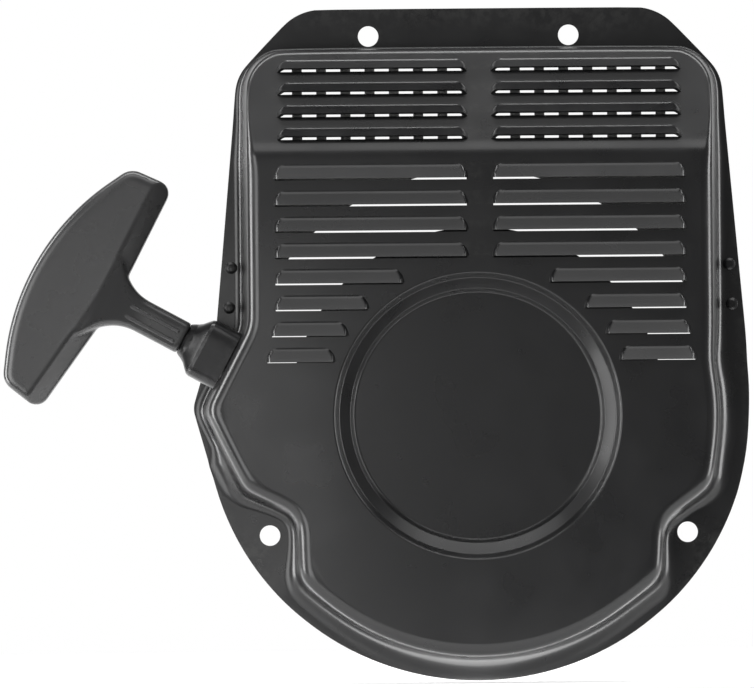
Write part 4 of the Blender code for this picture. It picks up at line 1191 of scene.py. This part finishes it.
def bar_outline():
    """The grip seen from the front: straight inner edge, round ends and arched outer edge."""
    inner = [(0.0, GRIP_INNER - 0.2, 0.0, 1), (GRIP_HALF_LENGTH, GRIP_INNER_END, 4.5, 8),
             (GRIP_HALF_LENGTH - 2.0, 59.0, 6.5, 10)]
    arch = []
    for k in range(17):
        x = 34.0 - 2.125 * k
        arch.append((x, GRIP_APEX - GRIP_ARC + sqrt(GRIP_ARC ** 2 - x * x), 0.0, 1))
    mirrored = [(-x, y, radius, count) for x, y, radius, count in reversed(inner[1:] + arch[:-1])]
    corners = [tilted(x, y) + (radius, count) for x, y, radius, count in inner + arch + mirrored]
    return [tuple(point) for point in rounded(corners)]


def bevel_inner_edges(bar, place):
    """Cuts a wide bevel along both arms' inner edges, front and back."""
    slope = (GRIP_INNER_END - GRIP_INNER) / GRIP_HALF_LENGTH
    for side in (-1, 1):
        for face in (-1, 1):
            ends = []
            for x in (-2.0, GRIP_HALF_LENGTH + 6.0):
                near = GRIP_INNER + slope * x - 8.0
                far = GRIP_INNER + slope * x + 6.6
                corners = [(near, 1.0), (far, GRIP_HALF_DEPTH + 0.4), (far, GRIP_HALF_DEPTH + 6.0),
                           (near, GRIP_HALF_DEPTH + 6.0)]
                ends.append([(*tilted(side * x, y), face * z) for y, z in corners])
            boolean(bar, lofted("bevel", ends, place), "DIFFERENCE")


def neck_sections():
    """(distance from the eye, half width, half depth) of the neck, which flares into the grip."""
    sections = []
    for k in range(24):
        along = NECK_START + (50.0 - NECK_START) * k / 23
        flare = max(0.0, (along - 28.0) / 14.0)
        half_width = min(NECK_HALF_WIDTH + 6.4 * flare ** 2.4, 18.0)
        half_depth = 6.6 + 0.05 * (along - NECK_START) + min(2.6 * flare ** 2, 3.4)
        sections.append((along, half_width, half_depth))
    return sections


def rounded_box(half_width, half_depth, corner, steps=4):
    """A rectangle with round corners."""
    points = []
    for sign_x, sign_y, first in ((1, 1, 0), (-1, 1, 90), (-1, -1, 180), (1, -1, 270)):
        for k in range(steps + 1):
            angle = radians(first + 90.0 * k / steps)
            points.append((sign_x * (half_width - corner) + corner * cos(angle),
                           sign_y * (half_depth - corner) + corner * sin(angle)))
    return points


def build_handle(look):
    """The grip and its neck in one skin, with a bore, a pocket for the knot and a cap."""
    eye = pull_frame()
    bar = prisms("grip", [bar_outline()], -GRIP_HALF_DEPTH, GRIP_HALF_DEPTH, eye, look)
    soften_edges(bar, 2.6, 4, 50.0)
    apply_modifiers(bar)
    bevel_inner_edges(bar, eye)
    rings = [[(x, along, z) for x, z in rounded_box(half_width, half_depth, 2.4)]
             for along, half_width, half_depth in neck_sections()]
    boolean(bar, lofted("neck", rings, eye), "UNION")
    remesh = bar.modifiers.new("remesh", "REMESH")
    remesh.mode = "VOXEL"
    remesh.voxel_size = VOXEL * MM
    relax = bar.modifiers.new("relax", "SMOOTH")
    relax.factor = 0.5
    relax.iterations = 14
    apply_modifiers(bar, 60.0)
    near = NECK_START + 2.5
    ribs = [[(x - 0.6, near), (x + 0.6, near), (x + 0.75, 38.0), (x - 0.75, 38.0)] for x in (-2.6, 1.2)]
    front = prisms("ribs", ribs, 5.0, 8.2, eye)
    soften_edges(front, 0.5, 3)
    boolean(bar, front, "UNION")
    drill(bar, BORE, 5.0, POCKET_FLOOR + 2.0, along_pull())
    drill(bar, POCKET_RADIUS, POCKET_FLOOR, 80.0, along_pull(), 64)
    install(bar, "handle", "handle_plastic", "handle_grip")
    plug = turned("grip_cap", tube_profile(0.0, POCKET_RADIUS - GAP, 66.2, 69.8), along_pull(), look, 64, 0.6)
    install(plug, "handle", "handle_plastic", "handle_plug")


# Light and floor


def area_light(name, position, target, width, height, power):
    """A rectangular light that faces its target, in metres and watts."""
    data = bpy.data.lights.new(name, "AREA")
    data.shape = "RECTANGLE"
    data.size = width
    data.size_y = height
    data.energy = power
    light = new_object(name, data)
    towards = Vector(target) - Vector(position)
    light.matrix_world = Matrix.Translation(position) @ towards.to_track_quat("-Z", "Y").to_matrix().to_4x4()


def build_floor():
    """A pale round floor just under the part."""
    mesh = bpy.data.meshes.new("floor")
    level = CAD_BOX[0][2] - 0.0005
    mesh.from_pydata([(x, y, level) for x, y in circle(0.0, 0.35, 0.50, FINE)], [], [tuple(range(FINE))])
    floor = new_object("floor", mesh)
    made, _, shader = new_material("pale_floor", (0.8, 0.8, 0.8), 0.9)
    set_sockets(shader, {"Emission Color": (1.0, 1.0, 1.0, 1.0), "Emission Strength": 0.5})
    mesh.materials.append(made)


def build_surroundings():
    """A plain white room behind the part, a little darker in front of it."""
    world = bpy.data.worlds.new("studio")
    bpy.context.scene.world = world
    world.use_nodes = True
    tree = world.node_tree
    split = new_node(tree, "SeparateXYZ")
    tree.links.new(new_node(tree, "TexCoord").outputs["Generated"], split.inputs["Vector"])
    strength = spread(tree, split.outputs["Y"], 0.20, 1.0, 0.75, 0.95)
    background = tree.nodes["Background"]
    set_sockets(background, {"Color": (1.0, 1.0, 1.0, 1.0)})
    tree.links.new(strength, background.inputs["Strength"])


def build_studio():
    build_surroundings()
    area_light("left_softbox", (-0.95, -0.06, 0.05), (0.0, -0.02, 0.05), 0.32, 1.4, 15.0)
    area_light("right_softbox", (0.95, -0.06, 0.05), (0.0, -0.02, 0.05), 0.32, 1.4, 10.5)
    area_light("top_softbox", (0.0, -0.03, 1.05), (0.0, -0.01, 0.0), 1.6, 0.26, 10.0)
    area_light("top_fill", (0.0, -0.80, 0.90), (0.0, 0.0, 0.0), 1.2, 0.55, 3.6)
    area_light("left_fill", (-0.80, -0.95, 0.0), (0.0, 0.0, 0.0), 0.6, 0.9, 1.5)
    area_light("front_fill", (-0.62, -1.00, -0.05), (0.0, 0.0, 0.0), 0.5, 0.7, 3.6)
    area_light("face_glow", (-0.105, -0.80, -0.02), (-0.105, 0.0, -0.02), 0.10, 0.16, 0.12)
    level = CAD_BOX[0][2]
    area_light("floor_strip", (0.0, -0.003, level), (0.0, -0.003, 1.0), 0.24, 0.004, 0.018)
    build_floor()
    bpy.context.scene.view_settings.view_transform = "Standard"


def main():
    build_camera()
    paint = painted_metal()
    nylon = moulded_plastic("black_nylon", (0.008, 0.008, 0.0085), (0.014, 0.014, 0.0145),
                            (0.24, 0.36), 1800.0, 0.5)
    plastic = moulded_plastic("handle_plastic", (0.024, 0.024, 0.0245), (0.034, 0.034, 0.0345),
                              (0.24, 0.32), 2400.0, 0.85)
    zinc = zinc_plate()
    spring = spring_steel()
    yarn = rope_yarn()
    build_cover(paint)
    dress_node("debris_screen", zinc, 0.12)
    build_rivets(paint)
    build_post(zinc)
    build_pulley(nylon)
    build_spring_retainer(zinc)
    build_recoil_spring(spring)
    build_rope(yarn)
    dress_node("pulley_knot", yarn, 0.3)
    dress_node("handle_knot", yarn, 0.5)
    build_rope_guide(nylon)
    build_pawls(zinc)
    build_stack(zinc, spring)
    build_handle(plastic)
    dress_node("handle_insert", zinc, 0.2)
    build_studio()


main()
